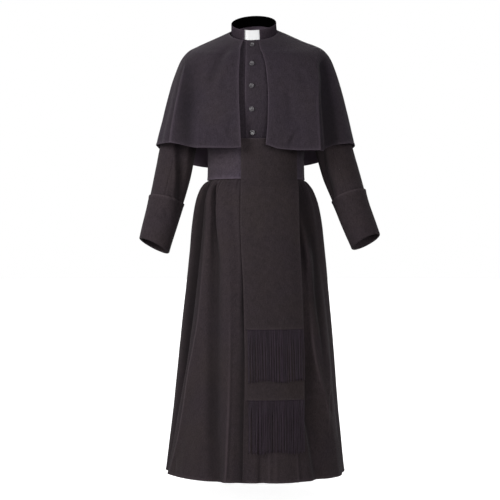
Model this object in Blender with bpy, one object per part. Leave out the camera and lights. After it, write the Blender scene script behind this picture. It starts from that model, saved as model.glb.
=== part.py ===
"""A Roman cassock with its shoulder cape, collar and fringed sash, hollow as it is when worn.

Metres, +Z up. The wearer faces -Y, and +X is the wearer's left. The origin is the middle of the
neck seam, where the garment hangs on its wearer's neck and shoulders, so the hem is 1.371 m below.
Cloth is a wall whose outer face is worked out from rings: bearings run round the body from 0 at the
front, through 90 degrees at the wearer's left side, to 180 at the back.
"""

import math
from collections import namedtuple

import bmesh
import bpy
import numpy as np
from mathutils import Vector

CLOTH = 0.0015  # thickness of the suiting
STIFF_CLOTH = 0.002  # thickness of the interfaced collar
TAB_SHEET = 0.001
GAP = 0.0003  # between pieces at a seam
LAYER = 0.0026  # from one cloth's outer face to the next one laid on it
NUDGE = 1e-4  # step used to measure a surface's slope

WAIST_SEAM = -0.400
HEM = -1.371
SASH_TOP = -0.338
SASH_BOTTOM = -0.461
SIDE = math.radians(90)
BACK = math.radians(180)


class Table:
    """Rows of named columns, read at any value of the first one on a monotone cubic. Beyond the
    first and last rows it runs straight on."""

    def __init__(self, columns, *rows):
        names = columns.split()
        grid = np.array(sorted(rows), float)
        self.row = namedtuple("Row", names)
        self.keys, self.values = grid[:, 0], grid[:, 1:]
        self.steps = np.diff(self.keys)
        slopes = np.diff(self.values, axis=0) / self.steps[:, None]
        self.tangents = np.zeros_like(self.values)
        self.tangents[0], self.tangents[-1] = slopes[0], slopes[-1]
        for i in range(1, len(self.keys) - 1):
            before, after = slopes[i - 1], slopes[i]
            same_way = before * after > 0
            near = self.steps[i] * 2 + self.steps[i - 1]
            far = self.steps[i] + self.steps[i - 1] * 2
            mean = (near + far) / (
                near / np.where(same_way, before, 1) + far / np.where(same_way, after, 1)
            )
            self.tangents[i] = np.where(same_way, mean, 0)

    def at(self, key):
        """The row at key, a number or an array."""
        key = np.asarray(key, float)
        held = np.clip(key, self.keys[0], self.keys[-1])
        i = np.clip(np.searchsorted(self.keys, held, side="right") - 1, 0, len(self.steps) - 1)
        step = self.steps[i][..., None]
        t = ((held - self.keys[i]) / self.steps[i])[..., None]
        found = (
            (1 + 2 * t) * (1 - t) ** 2 * self.values[i]
            + t * (1 - t) ** 2 * step * self.tangents[i]
            + t**2 * (3 - 2 * t) * self.values[i + 1]
            + t**2 * (t - 1) * step * self.tangents[i + 1]
        )
        nearest_end = np.where(held > key, 0, len(self.keys) - 1)
        found = found + (key - held)[..., None] * self.tangents[nearest_end]
        return self.row(key, *np.moveaxis(found, -1, 0))


# Half width at the side, depth in front of and behind the body's axis, how square the ring is
# (2 is an ellipse), how far the ring leans back, and how far its middle is off to the left.
RING = "height side front back square lean shift"

BODICE = Table(
    RING,
    (0.0020, 0.0715, 0.0700, 0.0700, 2.00, 0.483, -0.003),
    (-0.0115, 0.0940, 0.0780, 0.0830, 2.00, 0.430, -0.002),
    (-0.0205, 0.1160, 0.0840, 0.0910, 2.00, 0.390, -0.002),
    (-0.0305, 0.1400, 0.0900, 0.0990, 2.00, 0.350, -0.001),
    (-0.0420, 0.1650, 0.0960, 0.1060, 2.05, 0.300, 0.000),
    (-0.0530, 0.1820, 0.1010, 0.1110, 2.10, 0.260, 0.000),
    (-0.0680, 0.1900, 0.1060, 0.1160, 2.20, 0.215, 0.000),
    (-0.0950, 0.1940, 0.1130, 0.1230, 2.30, 0.150, 0.000),
    (-0.1400, 0.1920, 0.1230, 0.1300, 2.35, 0.080, 0.000),
    (-0.1900, 0.1850, 0.1310, 0.1320, 2.30, 0.030, 0.000),
    (-0.2400, 0.1750, 0.1340, 0.1270, 2.25, 0.000, 0.001),
    (-0.3000, 0.1590, 0.1295, 0.1140, 2.20, 0.000, 0.002),
    (-0.3380, 0.1480, 0.1195, 0.1020, 2.15, 0.000, 0.003),
    (-0.4000, 0.1475, 0.1160, 0.0990, 2.10, 0.000, 0.003),
)

SKIRT = Table(
    RING,
    (-0.4000, 0.1475, 0.1160, 0.0990, 2.10, 0.0, 0.003),
    (-0.4610, 0.1485, 0.1170, 0.1020, 2.10, 0.0, 0.003),
    (-0.4670, 0.1590, 0.1200, 0.1080, 2.10, 0.0, 0.003),
    (-0.4750, 0.1680, 0.1250, 0.1180, 2.10, 0.0, 0.003),
    (-0.4910, 0.1800, 0.1340, 0.1330, 2.10, 0.0, 0.004),
    (-0.5225, 0.1920, 0.1460, 0.1520, 2.10, 0.0, 0.005),
    (-0.5855, 0.2035, 0.1610, 0.1740, 2.10, 0.0, 0.007),
    (-0.7115, 0.2150, 0.1800, 0.1920, 2.12, 0.0, 0.009),
    (-0.8375, 0.2270, 0.1950, 0.2060, 2.15, 0.0, 0.008),
    (-0.9950, 0.2420, 0.2130, 0.2230, 2.15, 0.0, 0.007),
    (-1.1525, 0.2550, 0.2310, 0.2400, 2.15, 0.0, 0.005),
    (-1.3710, 0.2790, 0.2560, 0.2630, 2.15, 0.0, 0.003),
)

SASH_BAND = Table(
    RING,
    (-0.3380, 0.1522, 0.1237, 0.1062, 2.15, 0.0, 0.003),
    (-0.4000, 0.1517, 0.1202, 0.1032, 2.10, 0.0, 0.003),
    (-0.4610, 0.1527, 0.1212, 0.1062, 2.10, 0.0, 0.003),
)

# What the hanging ends of the sash lie on: the band, then the fullest line of the skirt.
SASH_BED = Table(
    RING,
    (-0.3380, 0.1522, 0.1237, 0.1062, 2.15, 0.0, 0.003),
    (-0.4610, 0.1530, 0.1214, 0.1062, 2.10, 0.0, 0.003),
    (-0.4750, 0.1680, 0.1270, 0.1180, 2.10, 0.0, 0.003),
    (-0.4910, 0.1800, 0.1360, 0.1330, 2.10, 0.0, 0.004),
    (-0.5225, 0.1920, 0.1470, 0.1520, 2.10, 0.0, 0.005),
    (-0.5855, 0.2035, 0.1615, 0.1740, 2.10, 0.0, 0.007),
    (-0.7115, 0.2150, 0.1800, 0.1920, 2.12, 0.0, 0.009),
    (-0.8375, 0.2270, 0.1950, 0.2060, 2.15, 0.0, 0.008),
    (-0.9950, 0.2420, 0.2130, 0.2230, 2.15, 0.0, 0.007),
    (-1.1525, 0.2560, 0.2330, 0.2400, 2.15, 0.0, 0.005),
    (-1.3710, 0.2840, 0.2610, 0.2630, 2.15, 0.0, 0.003),
)

# Drop is how much of the hem's own unevenness each ring has.
CAPE = Table(
    RING + " drop",
    (0.0035, 0.0750, 0.0725, 0.0735, 2.00, 0.483, -0.004, 0.00),
    (-0.0060, 0.0965, 0.0815, 0.0870, 2.00, 0.440, -0.004, 0.00),
    (-0.0135, 0.1165, 0.0880, 0.0955, 2.00, 0.410, -0.004, 0.00),
    (-0.0225, 0.1395, 0.0940, 0.1035, 2.00, 0.370, -0.004, 0.00),
    (-0.0315, 0.1630, 0.1000, 0.1100, 2.00, 0.335, -0.003, 0.00),
    (-0.0405, 0.1875, 0.1060, 0.1160, 2.05, 0.300, -0.001, 0.00),
    (-0.0500, 0.2085, 0.1110, 0.1215, 2.10, 0.265, 0.000, 0.00),
    (-0.0690, 0.2285, 0.1190, 0.1290, 2.20, 0.210, 0.001, 0.00),
    (-0.0850, 0.2385, 0.1240, 0.1340, 2.25, 0.175, 0.001, 0.03),
    (-0.1150, 0.2505, 0.1320, 0.1410, 2.35, 0.125, 0.001, 0.11),
    (-0.1460, 0.2605, 0.1385, 0.1470, 2.40, 0.085, 0.001, 0.23),
    (-0.2080, 0.2775, 0.1480, 0.1570, 2.45, 0.025, 0.001, 0.46),
    (-0.2705, 0.2930, 0.1550, 0.1680, 2.45, 0.000, 0.001, 0.70),
    (-0.3335, 0.3090, 0.1600, 0.1800, 2.45, 0.000, 0.001, 0.93),
    (-0.3510, 0.3130, 0.1610, 0.1835, 2.45, 0.000, 0.001, 1.00),
)

COLLAR = Table(
    RING,
    (0.0024, 0.0717, 0.0702, 0.0702, 2.0, 0.483, -0.003),
    (0.0190, 0.0705, 0.0692, 0.0690, 2.0, 0.490, -0.0035),
    (0.0355, 0.0700, 0.0680, 0.0680, 2.0, 0.500, -0.004),
)

# Where the cape's free front edges hang, measured across the chest from the middle.
CAPE_EDGES = Table(
    "height right left",
    (0.0035, 0.0290, 0.0220),
    (-0.0500, 0.0370, 0.0330),
    (-0.1150, 0.0392, 0.0450),
    (-0.2080, 0.0375, 0.0515),
    (-0.2705, 0.0340, 0.0508),
    (-0.3510, 0.0297, 0.0455),
)

# The cape's shoulder seams, in degrees in front of each side.
CAPE_SEAMS = Table(
    "height right left",
    (0.0035, 0.0, 0.0),
    (-0.0405, 4.0, 5.0),
    (-0.0600, 11.0, 14.0),
    (-0.0950, 19.0, 23.5),
    (-0.1500, 21.8, 28.0),
    (-0.2100, 23.4, 31.6),
    (-0.2860, 24.2, 33.4),
    (-0.3510, 25.0, 34.4),
)

# The hanging ends' edge nearest the middle, measured across from it.
SASH_EDGE = Table(
    "height across",
    (-0.338, -0.0320),
    (-0.461, -0.0320),
    (-0.586, -0.0304),
    (-0.838, -0.0172),
    (-1.153, -0.0098),
    (-1.371, -0.0080),
)

# A fold runs down a garment through four heights. At each it has a bearing, in degrees, and a
# depth out from the wall. It falls away over two widths, towards lesser and greater bearings, and
# its crest is a soft roll at 2 and a pressed edge nearer to 1.
Fold = namedtuple("Fold", "bearings depths before after crest")

SKIRT_STATIONS = (-0.461, -0.700, -1.050, HEM)  # waist, hip, knee and hem
SKIRT_FOLD_START = (-0.459, -0.520)  # from here to here the folds open out below the sash
SKIRT_FOLDS = (
    # the wearer's right of the front
    Fold((-86, -85, -85, -88), (0.000, 0.003, 0.004, 0.006), 0.050, 0.045, 2.0),
    Fold((-68, -64, -64.5, -76), (-0.012, -0.018, -0.019, -0.012), 0.024, 0.014, 1.8),
    Fold((-60, -56, -57.5, -69), (0.005, 0.008, 0.008, 0.006), 0.014, 0.045, 1.25),
    Fold((-54, -39.5, -31, -22.5), (-0.013, -0.011, -0.009, -0.008), 0.016, 0.026, 1.8),
    Fold((-44, -29.5, -19.5, -14), (0.003, 0.003, 0.003, 0.005), 0.034, 0.020, 1.7),
    Fold((-28, -16, -10, -8), (-0.006, -0.003, -0.002, -0.003), 0.010, 0.012, 1.8),
    # behind the sash ends, then the wearer's left of the front
    Fold((12, 10, 9.5, 9.5), (-0.003, -0.003, -0.004, -0.008), 0.016, 0.018, 1.7),
    Fold((24, 24, 24, 24), (0.000, 0.000, 0.000, 0.005), 0.045, 0.035, 2.0),
    Fold((38, 36, 35, 35), (-0.002, -0.002, -0.002, -0.003), 0.010, 0.020, 1.5),
    Fold((64, 48, 46, 50), (-0.014, -0.016, -0.018, -0.016), 0.022, 0.022, 1.9),
    Fold((60, 56, 61, 68), (0.000, 0.004, 0.008, 0.006), 0.026, 0.034, 1.5),
    Fold((78, 74, 77, 81), (-0.010, -0.006, -0.005, -0.006), 0.020, 0.022, 1.8),
    # the back
    Fold((102, 100, 101, 102), (-0.012, -0.014, -0.013, -0.010), 0.024, 0.028, 1.9),
    Fold((114, 113, 114, 116), (0.004, 0.006, 0.006, 0.006), 0.022, 0.030, 1.6),
    Fold((127, 128, 129, 131), (-0.013, -0.015, -0.014, -0.012), 0.024, 0.026, 1.9),
    Fold((141, 143, 144, 146), (0.003, 0.005, 0.006, 0.006), 0.030, 0.022, 1.7),
    Fold((154, 157, 158, 159), (-0.012, -0.013, -0.012, -0.011), 0.024, 0.026, 1.9),
    Fold((168, 170, 171, 172), (0.003, 0.005, 0.005, 0.005), 0.024, 0.024, 1.8),
    Fold((181, 182, 183, 184), (-0.012, -0.014, -0.013, -0.011), 0.026, 0.024, 1.9),
    Fold((194, 196, 197, 198), (0.004, 0.006, 0.006, 0.006), 0.022, 0.030, 1.7),
    Fold((207, 210, 211, 212), (-0.013, -0.013, -0.013, -0.012), 0.026, 0.024, 1.9),
    Fold((221, 224, 226, 227), (0.003, 0.005, 0.006, 0.005), 0.028, 0.024, 1.8),
    Fold((235, 238, 240, 242), (-0.012, -0.015, -0.014, -0.011), 0.026, 0.026, 1.9),
    Fold((250, 252, 254, 256), (0.004, 0.006, 0.006, 0.006), 0.022, 0.028, 1.7),
    Fold((262, 264, 265, 266), (-0.010, -0.009, -0.008, -0.007), 0.022, 0.022, 1.9),
)

CAPE_HEM = -0.351
CAPE_STATIONS = (0.0, -0.110, -0.230, CAPE_HEM)  # neck, upper arm, elbow and hem
CAPE_FOLD_START = (-0.050, -0.110)
CAPE_FOLDS = (
    # the fronts
    Fold((-28, -31, -34, -36), (0.000, 0.001, 0.002, 0.003), 0.040, 0.040, 2.0),
    Fold((-52, -55, -57, -58), (0.000, -0.003, -0.006, -0.008), 0.022, 0.028, 1.9),
    Fold((38, 39, 40, 41), (0.000, -0.002, -0.004, -0.005), 0.030, 0.030, 2.0),
    # the back
    Fold((112, 115, 117, 119), (0.000, -0.002, -0.006, -0.011), 0.028, 0.030, 2.0),
    Fold((133, 134, 136, 137), (0.000, 0.002, 0.004, 0.007), 0.028, 0.028, 1.9),
    Fold((152, 152, 152, 153), (0.000, -0.002, -0.006, -0.011), 0.028, 0.028, 2.0),
    Fold((172, 171, 171, 170), (0.000, 0.002, 0.004, 0.007), 0.028, 0.028, 1.9),
    Fold((190, 189, 189, 188), (0.000, -0.002, -0.006, -0.010), 0.028, 0.028, 2.0),
    Fold((208, 207, 207, 206), (0.000, 0.002, 0.004, 0.007), 0.028, 0.028, 1.9),
    Fold((227, 226, 224, 223), (0.000, -0.002, -0.006, -0.011), 0.030, 0.028, 2.0),
    Fold((248, 246, 244, 242), (0.000, 0.002, 0.004, 0.006), 0.028, 0.028, 1.9),
)
# The ridges along the shoulder seams and the hollows by them, in degrees behind the seam.
CAPE_SEAM_FOLDS = {
    "right": (
        Fold((0, 0, 0, 0), (0.002, 0.005, 0.008, 0.010), 0.026, 0.012, 1.3),
        Fold((10, 10, 11, 12), (0.000, -0.003, -0.006, -0.008), 0.016, 0.020, 2.0),
    ),
    "left": (
        Fold((0, 0, 0, 0), (0.002, 0.006, 0.010, 0.013), 0.036, 0.010, 1.2),
        Fold((8, 8, 8.5, 9), (-0.006, -0.013, -0.017, -0.021), 0.014, 0.022, 1.8),
    ),
}

# How far the cape's hem hangs below a level one, at each bearing.
CAPE_DROP = Table(
    "bearing drop",
    (-180, 0.080),
    (-130, 0.057),
    (-105, 0.020),
    (-90, 0.000),
    (-68, -0.003),
    (-50, 0.016),
    (-18, 0.019),
    (-9, 0.017),
    (15, 0.010),
    (28, 0.022),
    (48, 0.027),
    (60, 0.027),
    (70, 0.005),
    (80, 0.000),
    (95, 0.003),
    (130, 0.045),
    (180, 0.080),
)

# The armhole is an ellipse on the bodice, as tall as from the shoulder tip to the underarm.
ARMHOLE_MIDDLE = -0.165
ARMHOLE_HALF_HEIGHT = 0.110
ARMHOLE_HALF_ANGLE = math.radians(19)

# Each sleeve's middle line from below the underarm to the wrist, with its half width seen from the
# front and its half depth. Across is out from the body's middle plane, forward is towards the front.
SLEEVE = "height across forward half_width half_depth"
SLEEVES = {
    "right": Table(
        SLEEVE,
        (-0.290, 0.2280, -0.008, 0.0545, 0.0610),
        (-0.362, 0.2470, -0.010, 0.0570, 0.0585),
        (-0.428, 0.2600, -0.012, 0.0575, 0.0565),
        (-0.491, 0.2735, -0.003, 0.0555, 0.0540),
        (-0.554, 0.2875, 0.012, 0.0525, 0.0510),
        (-0.617, 0.3025, 0.030, 0.0495, 0.0490),
        (-0.664, 0.3130, 0.043, 0.0475, 0.0475),
        (-0.700, 0.3210, 0.053, 0.0470, 0.0470),
    ),
    "left": Table(
        SLEEVE,
        (-0.290, 0.2290, -0.008, 0.0545, 0.0610),
        (-0.362, 0.2475, -0.010, 0.0580, 0.0590),
        (-0.428, 0.2655, -0.012, 0.0585, 0.0570),
        (-0.491, 0.2865, -0.003, 0.0550, 0.0540),
        (-0.554, 0.3090, 0.011, 0.0500, 0.0500),
        (-0.617, 0.3330, 0.029, 0.0475, 0.0480),
        (-0.655, 0.3480, 0.040, 0.0455, 0.0465),
        (-0.700, 0.3670, 0.053, 0.0450, 0.0460),
    ),
}
SLEEVE_TOP = -0.290
WRISTS = {"right": -0.664, "left": -0.652}
WRIST_SLANTS = {"right": 0.0105, "left": 0.0050}  # how much longer the inside is than the middle
SHOULDER_SLOPE = math.radians(24)
SLEEVE_CAP_FULLNESS = 0.72
CUFF_HEIGHT = 0.142
CUFF_EASE = 0.0036  # the turned-back cuff's outer face stands this far off the sleeve's

# The heights of each piece's rows, and how many columns the pieces have.
SHOULDER_ROWS = (-0.0405, -0.0205, -0.0075, 0.0018)
SKIRT_ROWS = (
    -0.435, -0.461, -0.469, -0.486, -0.515, -0.560, -0.640, -0.760, -0.900, -1.050, -1.210
)
CAPE_ROWS = (
    0.0035, -0.0135, -0.0315, -0.050, -0.066, -0.085, -0.115, -0.150, -0.200, -0.250, -0.300
)
CAPE_FRONT_COLUMNS, CAPE_BACK_COLUMNS = 12, 30
CAPE_CROWDING = 1.5
SLEEVE_CAP_ROWS = (0.0, 0.2, 0.45, 0.72, 1.0)  # from the armhole to the underarm
SLEEVE_ARM_ROWS = (0.18, 0.36, 0.54, 0.76, 1.0)  # from there to the wrist
SLEEVE_COLUMNS = 8
CUFF_COLUMNS = 16
CUFF_JOIN = math.radians(200)  # the cuff's seam, round from the outside of the arm
CUFF_OVERRUN = 0.0035  # how far the cuff's fold runs past the sleeve's end

FRONT_OVERLAP = 0.020  # how far each front runs past the middle
UNDERLAP_EASE = 0.030  # over which the under front sinks below the upper one

SASH_WIDTH = 0.183
SASH_JOIN = math.radians(20)  # where the band's ends meet, behind the hanging ends
SASH_FALL_ROWS = (-0.339, -0.400, -0.450, -0.475, -0.500, -0.535, -0.600, -0.700, -0.800, -1.000)
SASH_ENDS = {"sash_end_upper": -0.9185, "sash_end_lower": -1.1280}
FRINGE_LENGTH = 0.160
FRINGE_START, FRINGE_END = 0.010, 0.182  # how far from the inner edge the fringe runs
FRINGE_STRANDS = 60
FRINGE_HEADING = 0.008
FRINGE_THICKNESS = 0.002
STRAND_SHARE = 0.62  # of the fringe's width that is strand and not gap
STRAND_SEGMENTS = 2
STRAND_SWAY = 0.0005
STRAND_UNEVENNESS = 0.006

COLLAR_GAP = math.radians(19.6)  # each side of the front middle
TAB_REACH = math.radians(26)
TAB_HEIGHTS = (0.0034, 0.0343)

BUTTON_RADIUS = 0.0075
BUTTON_THICKNESS = 0.0036
BUTTON_SIDES = 14
BUTTON_HEIGHTS = (-0.0466, -0.1090, -0.1790, -0.2496, -0.3198)
BUTTON_LIFT = GAP * 4
# Shares of the radius and of the thickness, from the middle of the back round to the dished face.
BUTTON_PROFILE = (
    (0.0, 0.0),
    (0.85, 0.0),
    (1.0, 0.45),
    (0.82, 1.0),
    (0.58, 0.92),
    (0.46, 0.66),
    (0.0, 0.66),
)
SHARP_ANGLE = math.radians(40)

BLACK_CLOTH = {"color": (0.034, 0.028, 0.031), "roughness": 0.85}
SASH_CLOTH = {"color": (0.044, 0.035, 0.042), "roughness": 0.75}
FRINGE_CORD = {"color": (0.020, 0.015, 0.020), "roughness": 0.65}
TAB_PLASTIC = {"color": (0.87, 0.87, 0.87), "roughness": 0.35}
BUTTON_PLASTIC = {"color": (0.055, 0.050, 0.055), "roughness": 0.25}


def clear_scene():
    for item in list(bpy.data.objects):
        bpy.data.objects.remove(item, do_unlink=True)


def material(name, color, roughness):
    made = bpy.data.materials.get(name) or bpy.data.materials.new(name)
    made.use_nodes = True
    shader = made.node_tree.nodes["Principled BSDF"]
    shader.inputs["Base Color"].default_value = (*color, 1.0)
    shader.inputs["Roughness"].default_value = roughness
    shader.inputs["Metallic"].default_value = 0.0
    return made


def soft_step(low, high, value):
    """0 at low, 1 at high, eased at both ends. Low may be the greater."""
    t = np.clip((value - low) / (high - low), 0, 1)
    return t * t * (3 - 2 * t)


def ring_point(ring, bearing, swell=0.0):
    """Points of a ring at the given bearings, moved out by swell."""
    across, ahead = np.sin(bearing), np.cos(bearing)
    depth = np.where(ahead > 0, ring.front, ring.back)
    reach = np.abs(across / ring.side) ** ring.square + np.abs(ahead / depth) ** ring.square
    reach = reach ** (-1 / ring.square) + swell
    x = ring.shift + reach * across
    y = -reach * ahead
    return np.stack([x, y, ring.height + ring.lean * y], axis=-1)


def turned(degrees):
    """The same bearing between -180 and 180."""
    return (degrees + 180) % 360 - 180


def fold_depth(folds, stations, bearing, height, ring):
    """How far the folds move a ring out at a bearing. Stations are the folds' four heights."""
    girth = (ring.side + ring.front) / 2
    total = np.zeros(np.broadcast(bearing, height).shape)
    for fold in folds:
        centre = np.interp(height, stations[::-1], fold.bearings[::-1])
        depth = np.interp(height, stations[::-1], fold.depths[::-1])
        away = np.radians(turned(np.degrees(bearing) - centre)) * girth
        width = np.where(away < 0, fold.before, fold.after)
        total = total + depth * np.exp(-(np.abs(away / width) ** fold.crest))
    return total


def bodice(bearing, height):
    return ring_point(BODICE.at(height), bearing)


def skirt(bearing, height):
    ring = SKIRT.at(height)
    folds = fold_depth(SKIRT_FOLDS, SKIRT_STATIONS, bearing, height, ring)
    return ring_point(ring, bearing, folds * soft_step(*SKIRT_FOLD_START, height))


def sunk(surface):
    """A front's surface, sunk near the middle so that the left front can lie on it."""

    def under(bearing, height):
        points = surface(bearing, height)
        edge = -FRONT_OVERLAP - 0.004
        depth = LAYER * soft_step(edge - UNDERLAP_EASE, edge, points[..., 0])
        return points - normals(surface, bearing, height) * depth[..., None]

    return under


def cape_seam(side, height):
    """The shoulder seam's bearing on one side, counted from the front towards that side."""
    return SIDE - np.radians(getattr(CAPE_SEAMS.at(height), side))


def cape(bearing, height):
    ring = CAPE.at(height)
    folds = fold_depth(CAPE_FOLDS, CAPE_STATIONS, bearing, height, ring)
    for side, sign in (("right", -1), ("left", 1)):
        behind = bearing * sign - cape_seam(side, height)
        folds = folds + fold_depth(CAPE_SEAM_FOLDS[side], CAPE_STATIONS, behind, height, ring)
    points = ring_point(ring, bearing, folds * soft_step(*CAPE_FOLD_START, height))
    points[..., 2] -= ring.drop * CAPE_DROP.at(turned(np.degrees(bearing))).drop
    return points


def sash_band(bearing, height):
    return ring_point(SASH_BAND.at(height), bearing)


def collar(bearing, height):
    return ring_point(COLLAR.at(height), bearing)


def collar_tab(bearing, height):
    return ring_point(COLLAR.at(height), bearing, -STIFF_CLOTH - 3 * GAP)


def sash_fall(layer):
    """The surface of a hanging sash end: distance from its inner edge, and height."""

    def surface(distance, height):
        distance, height = np.broadcast_arrays(distance, height)
        points = np.empty((*height.shape, 3))
        bearings = np.radians(np.arange(-25, 95, 0.5))
        for place in np.ndindex(height.shape):
            ring = SASH_BED.at(height[place])
            run = ring_point(ring, bearings, layer * LAYER)
            length = np.concatenate(
                [[0], np.cumsum(np.linalg.norm(np.diff(run, axis=0), axis=1))]
            )
            start = np.interp(SASH_EDGE.at(height[place]).across, run[:, 0], length)
            bearing = np.interp(start + distance[place], length, bearings)
            points[place] = ring_point(ring, bearing, layer * LAYER)
        return points

    return surface


def armhole_bearing(height):
    """How far round from the front the armhole or side seam is at a height."""
    share = np.clip((height - ARMHOLE_MIDDLE) / ARMHOLE_HALF_HEIGHT, -1, 1)
    return SIDE - ARMHOLE_HALF_ANGLE * np.sqrt(1 - share**2)


def sleeve(side):
    """A sleeve's surface. Around is 0 on the outside, 90 degrees in front and 180 inside. Along is
    0 at the armhole, 1 at the underarm ring and then the distance below it plus 1."""
    table = SLEEVES[side]
    sign = 1 if side == "left" else -1

    def arm_ring(around, height):
        here, lower = table.at(height), table.at(height - NUDGE)
        run = np.stack(
            [here.across - lower.across, lower.forward - here.forward, here.height - lower.height],
            axis=-1,
        )
        run = -run / np.linalg.norm(run, axis=-1, keepdims=True)
        outward = np.array([1.0, 0.0, 0.0]) - run[..., :1] * run
        outward = outward / np.linalg.norm(outward, axis=-1, keepdims=True)
        forward = np.cross(outward, run)
        forward = forward * np.where(forward[..., 1:2] > 0, -1, 1)
        middle = np.stack([here.across, -here.forward, here.height], axis=-1)
        return (
            middle
            + outward * (here.half_width * np.cos(around))[..., None]
            + forward * (here.half_depth * np.sin(around))[..., None],
            run,
        )

    wrist = 1 + SLEEVE_TOP - WRISTS[side]

    def surface(around, along):
        around, along = np.broadcast_arrays(around, along)
        slant = soft_step(wrist - CUFF_HEIGHT, wrist, along) * WRIST_SLANTS[side]
        along = along - slant * np.cos(around)
        height = ARMHOLE_MIDDLE + ARMHOLE_HALF_HEIGHT * np.cos(around)
        bearing = SIDE - ARMHOLE_HALF_ANGLE * np.sin(around)
        start = bodice(bearing, height)
        end, run = arm_ring(around, np.full(around.shape, SLEEVE_TOP))
        level = ((1 + np.cos(around)) / 2)[..., None]
        shoulder = np.array([math.cos(SHOULDER_SLOPE), 0.0, -math.sin(SHOULDER_SLOPE)])
        leave = shoulder * level + run * (1 - level)
        leave = leave / np.linalg.norm(leave, axis=-1, keepdims=True)
        start = start + leave * GAP
        chord = np.linalg.norm(end - start, axis=-1, keepdims=True) * SLEEVE_CAP_FULLNESS
        t = np.clip(along, 0, 1)[..., None]
        cap = (
            start * (1 + 2 * t) * (1 - t) ** 2
            + leave * chord * t * (1 - t) ** 2
            + end * t**2 * (3 - 2 * t)
            + run * chord * t**2 * (t - 1)
        )
        arm, _ = arm_ring(around, SLEEVE_TOP - np.maximum(along - 1, 0))
        points = np.where(along[..., None] < 1, cap, arm)
        return points * [sign, 1, 1]

    return surface


def cuff(side):
    """The turned-back cuff's surface: a larger sleeve over the forearm."""
    under = sleeve(side)

    def surface(around, along):
        points = under(around, along)
        out = under_normal(under, around, along, side)
        return points + out * CUFF_EASE

    return surface


def under_normal(surface, first, second, side):
    out = normals(surface, first, second)
    return out if side == "left" else -out


def normals(surface, first, second):
    """Unit normals of a surface of two parameters, from its slopes."""
    across = surface(first + NUDGE, second) - surface(first - NUDGE, second)
    along = surface(first, second + NUDGE) - surface(first, second - NUDGE)
    out = np.cross(across, along)
    return out / np.linalg.norm(out, axis=-1, keepdims=True)


def wall(name, surface, first, second, thickness, finish, inside_out=False, parted=GAP):
    """A closed wall of cloth. First and second are the surface's two parameters over a grid of
    rows and columns. The wall's thickness lies inside the surface, and its first and last columns
    are drawn in by half the gap that parts it from its neighbours."""
    outer = surface(first, second)
    inner = outer - normals(surface, first, second) * thickness * (-1 if inside_out else 1)
    ends = first[:, [0, -1]], second[:, [0, -1]]
    run = surface(ends[0] + NUDGE, ends[1]) - surface(ends[0] - NUDGE, ends[1])
    draw = run / np.linalg.norm(run, axis=-1, keepdims=True) * parted / 2
    for skin in (outer, inner):
        skin[:, 0] += draw[:, 0]
        skin[:, -1] -= draw[:, 1]
    rows, columns = outer.shape[:2]
    mesh = bmesh.new()
    skins = [
        [[mesh.verts.new(skin[i, j]) for j in range(columns)] for i in range(rows)]
        for skin in (outer, inner)
    ]
    for skin in skins:
        for i in range(rows - 1):
            for j in range(columns - 1):
                mesh.faces.new((skin[i][j], skin[i][j + 1], skin[i + 1][j + 1], skin[i + 1][j]))
    rims = [edge for edge in mesh.edges if len(edge.link_faces) == 1]
    bmesh.ops.bridge_loops(mesh, edges=rims)
    bmesh.ops.recalc_face_normals(mesh, faces=mesh.faces)
    return finished(name, mesh, finish)


def finished(name, mesh, finish):
    """The object that holds a mesh, in the material for its finish."""
    data = bpy.data.meshes.new(name)
    mesh.to_mesh(data)
    mesh.free()
    item = bpy.data.objects.new(name, data)
    bpy.context.scene.collection.objects.link(item)
    label, values = finish
    data.materials.append(material(label, **values))
    data.shade_smooth()
    data.set_sharp_from_angle(angle=SHARP_ANGLE)
    return item


def panel(name, surface, heights, start, end, columns, finish, thickness=CLOTH):
    """A wall between two edges, given as bearings for each height. Columns is how many there are,
    or their shares of the way across."""
    share = columns if np.ndim(columns) else np.linspace(0, 1, columns + 1)
    start, end, heights = np.broadcast_arrays(start, end, heights)
    bearings = start[:, None] * (1 - share) + end[:, None] * share
    heights = np.repeat(heights[:, None], len(share), axis=1)
    return wall(name, surface, bearings, heights, thickness, finish)


CLOTH_FINISH = ("black_cloth", BLACK_CLOTH)


def build_bodice():
    """Two fronts that overlap at the middle, and a back, with open armholes and neck."""
    down_arm = np.radians(np.arange(180, -1, -22.5))
    armhole = ARMHOLE_MIDDLE + ARMHOLE_HALF_HEIGHT * np.cos(down_arm)
    side = np.linspace(WAIST_SEAM + GAP / 2, armhole[0], 5)[:-1]
    heights = np.concatenate([side, armhole, SHOULDER_ROWS])
    edge = armhole_bearing(heights)
    front = BODICE.at(heights).front
    overlap = np.arcsin(FRONT_OVERLAP / front)
    panel("bodice_front_left", bodice, heights, -overlap, edge, 9, CLOTH_FINISH)
    panel("bodice_front_right", sunk(bodice), heights, -edge, overlap, 9, CLOTH_FINISH)
    panel("bodice_back", bodice, heights, 2 * SIDE - edge, 2 * SIDE + edge, 14, CLOTH_FINISH)


def build_skirt():
    """Two fronts that overlap at the middle and two backs, gathered below the sash."""
    heights = np.array([WAIST_SEAM - GAP / 2, *SKIRT_ROWS, HEM])
    overlap = np.arcsin(FRONT_OVERLAP / SKIRT.at(heights).front)
    panel("skirt_front_left", skirt, heights, -overlap, SIDE, 22, CLOTH_FINISH)
    panel("skirt_front_right", sunk(skirt), heights, -SIDE, overlap, 22, CLOTH_FINISH)
    panel("skirt_back_left", skirt, heights, SIDE, BACK, 20, CLOTH_FINISH)
    panel("skirt_back_right", skirt, heights, BACK, 3 * SIDE, 20, CLOTH_FINISH)


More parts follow.
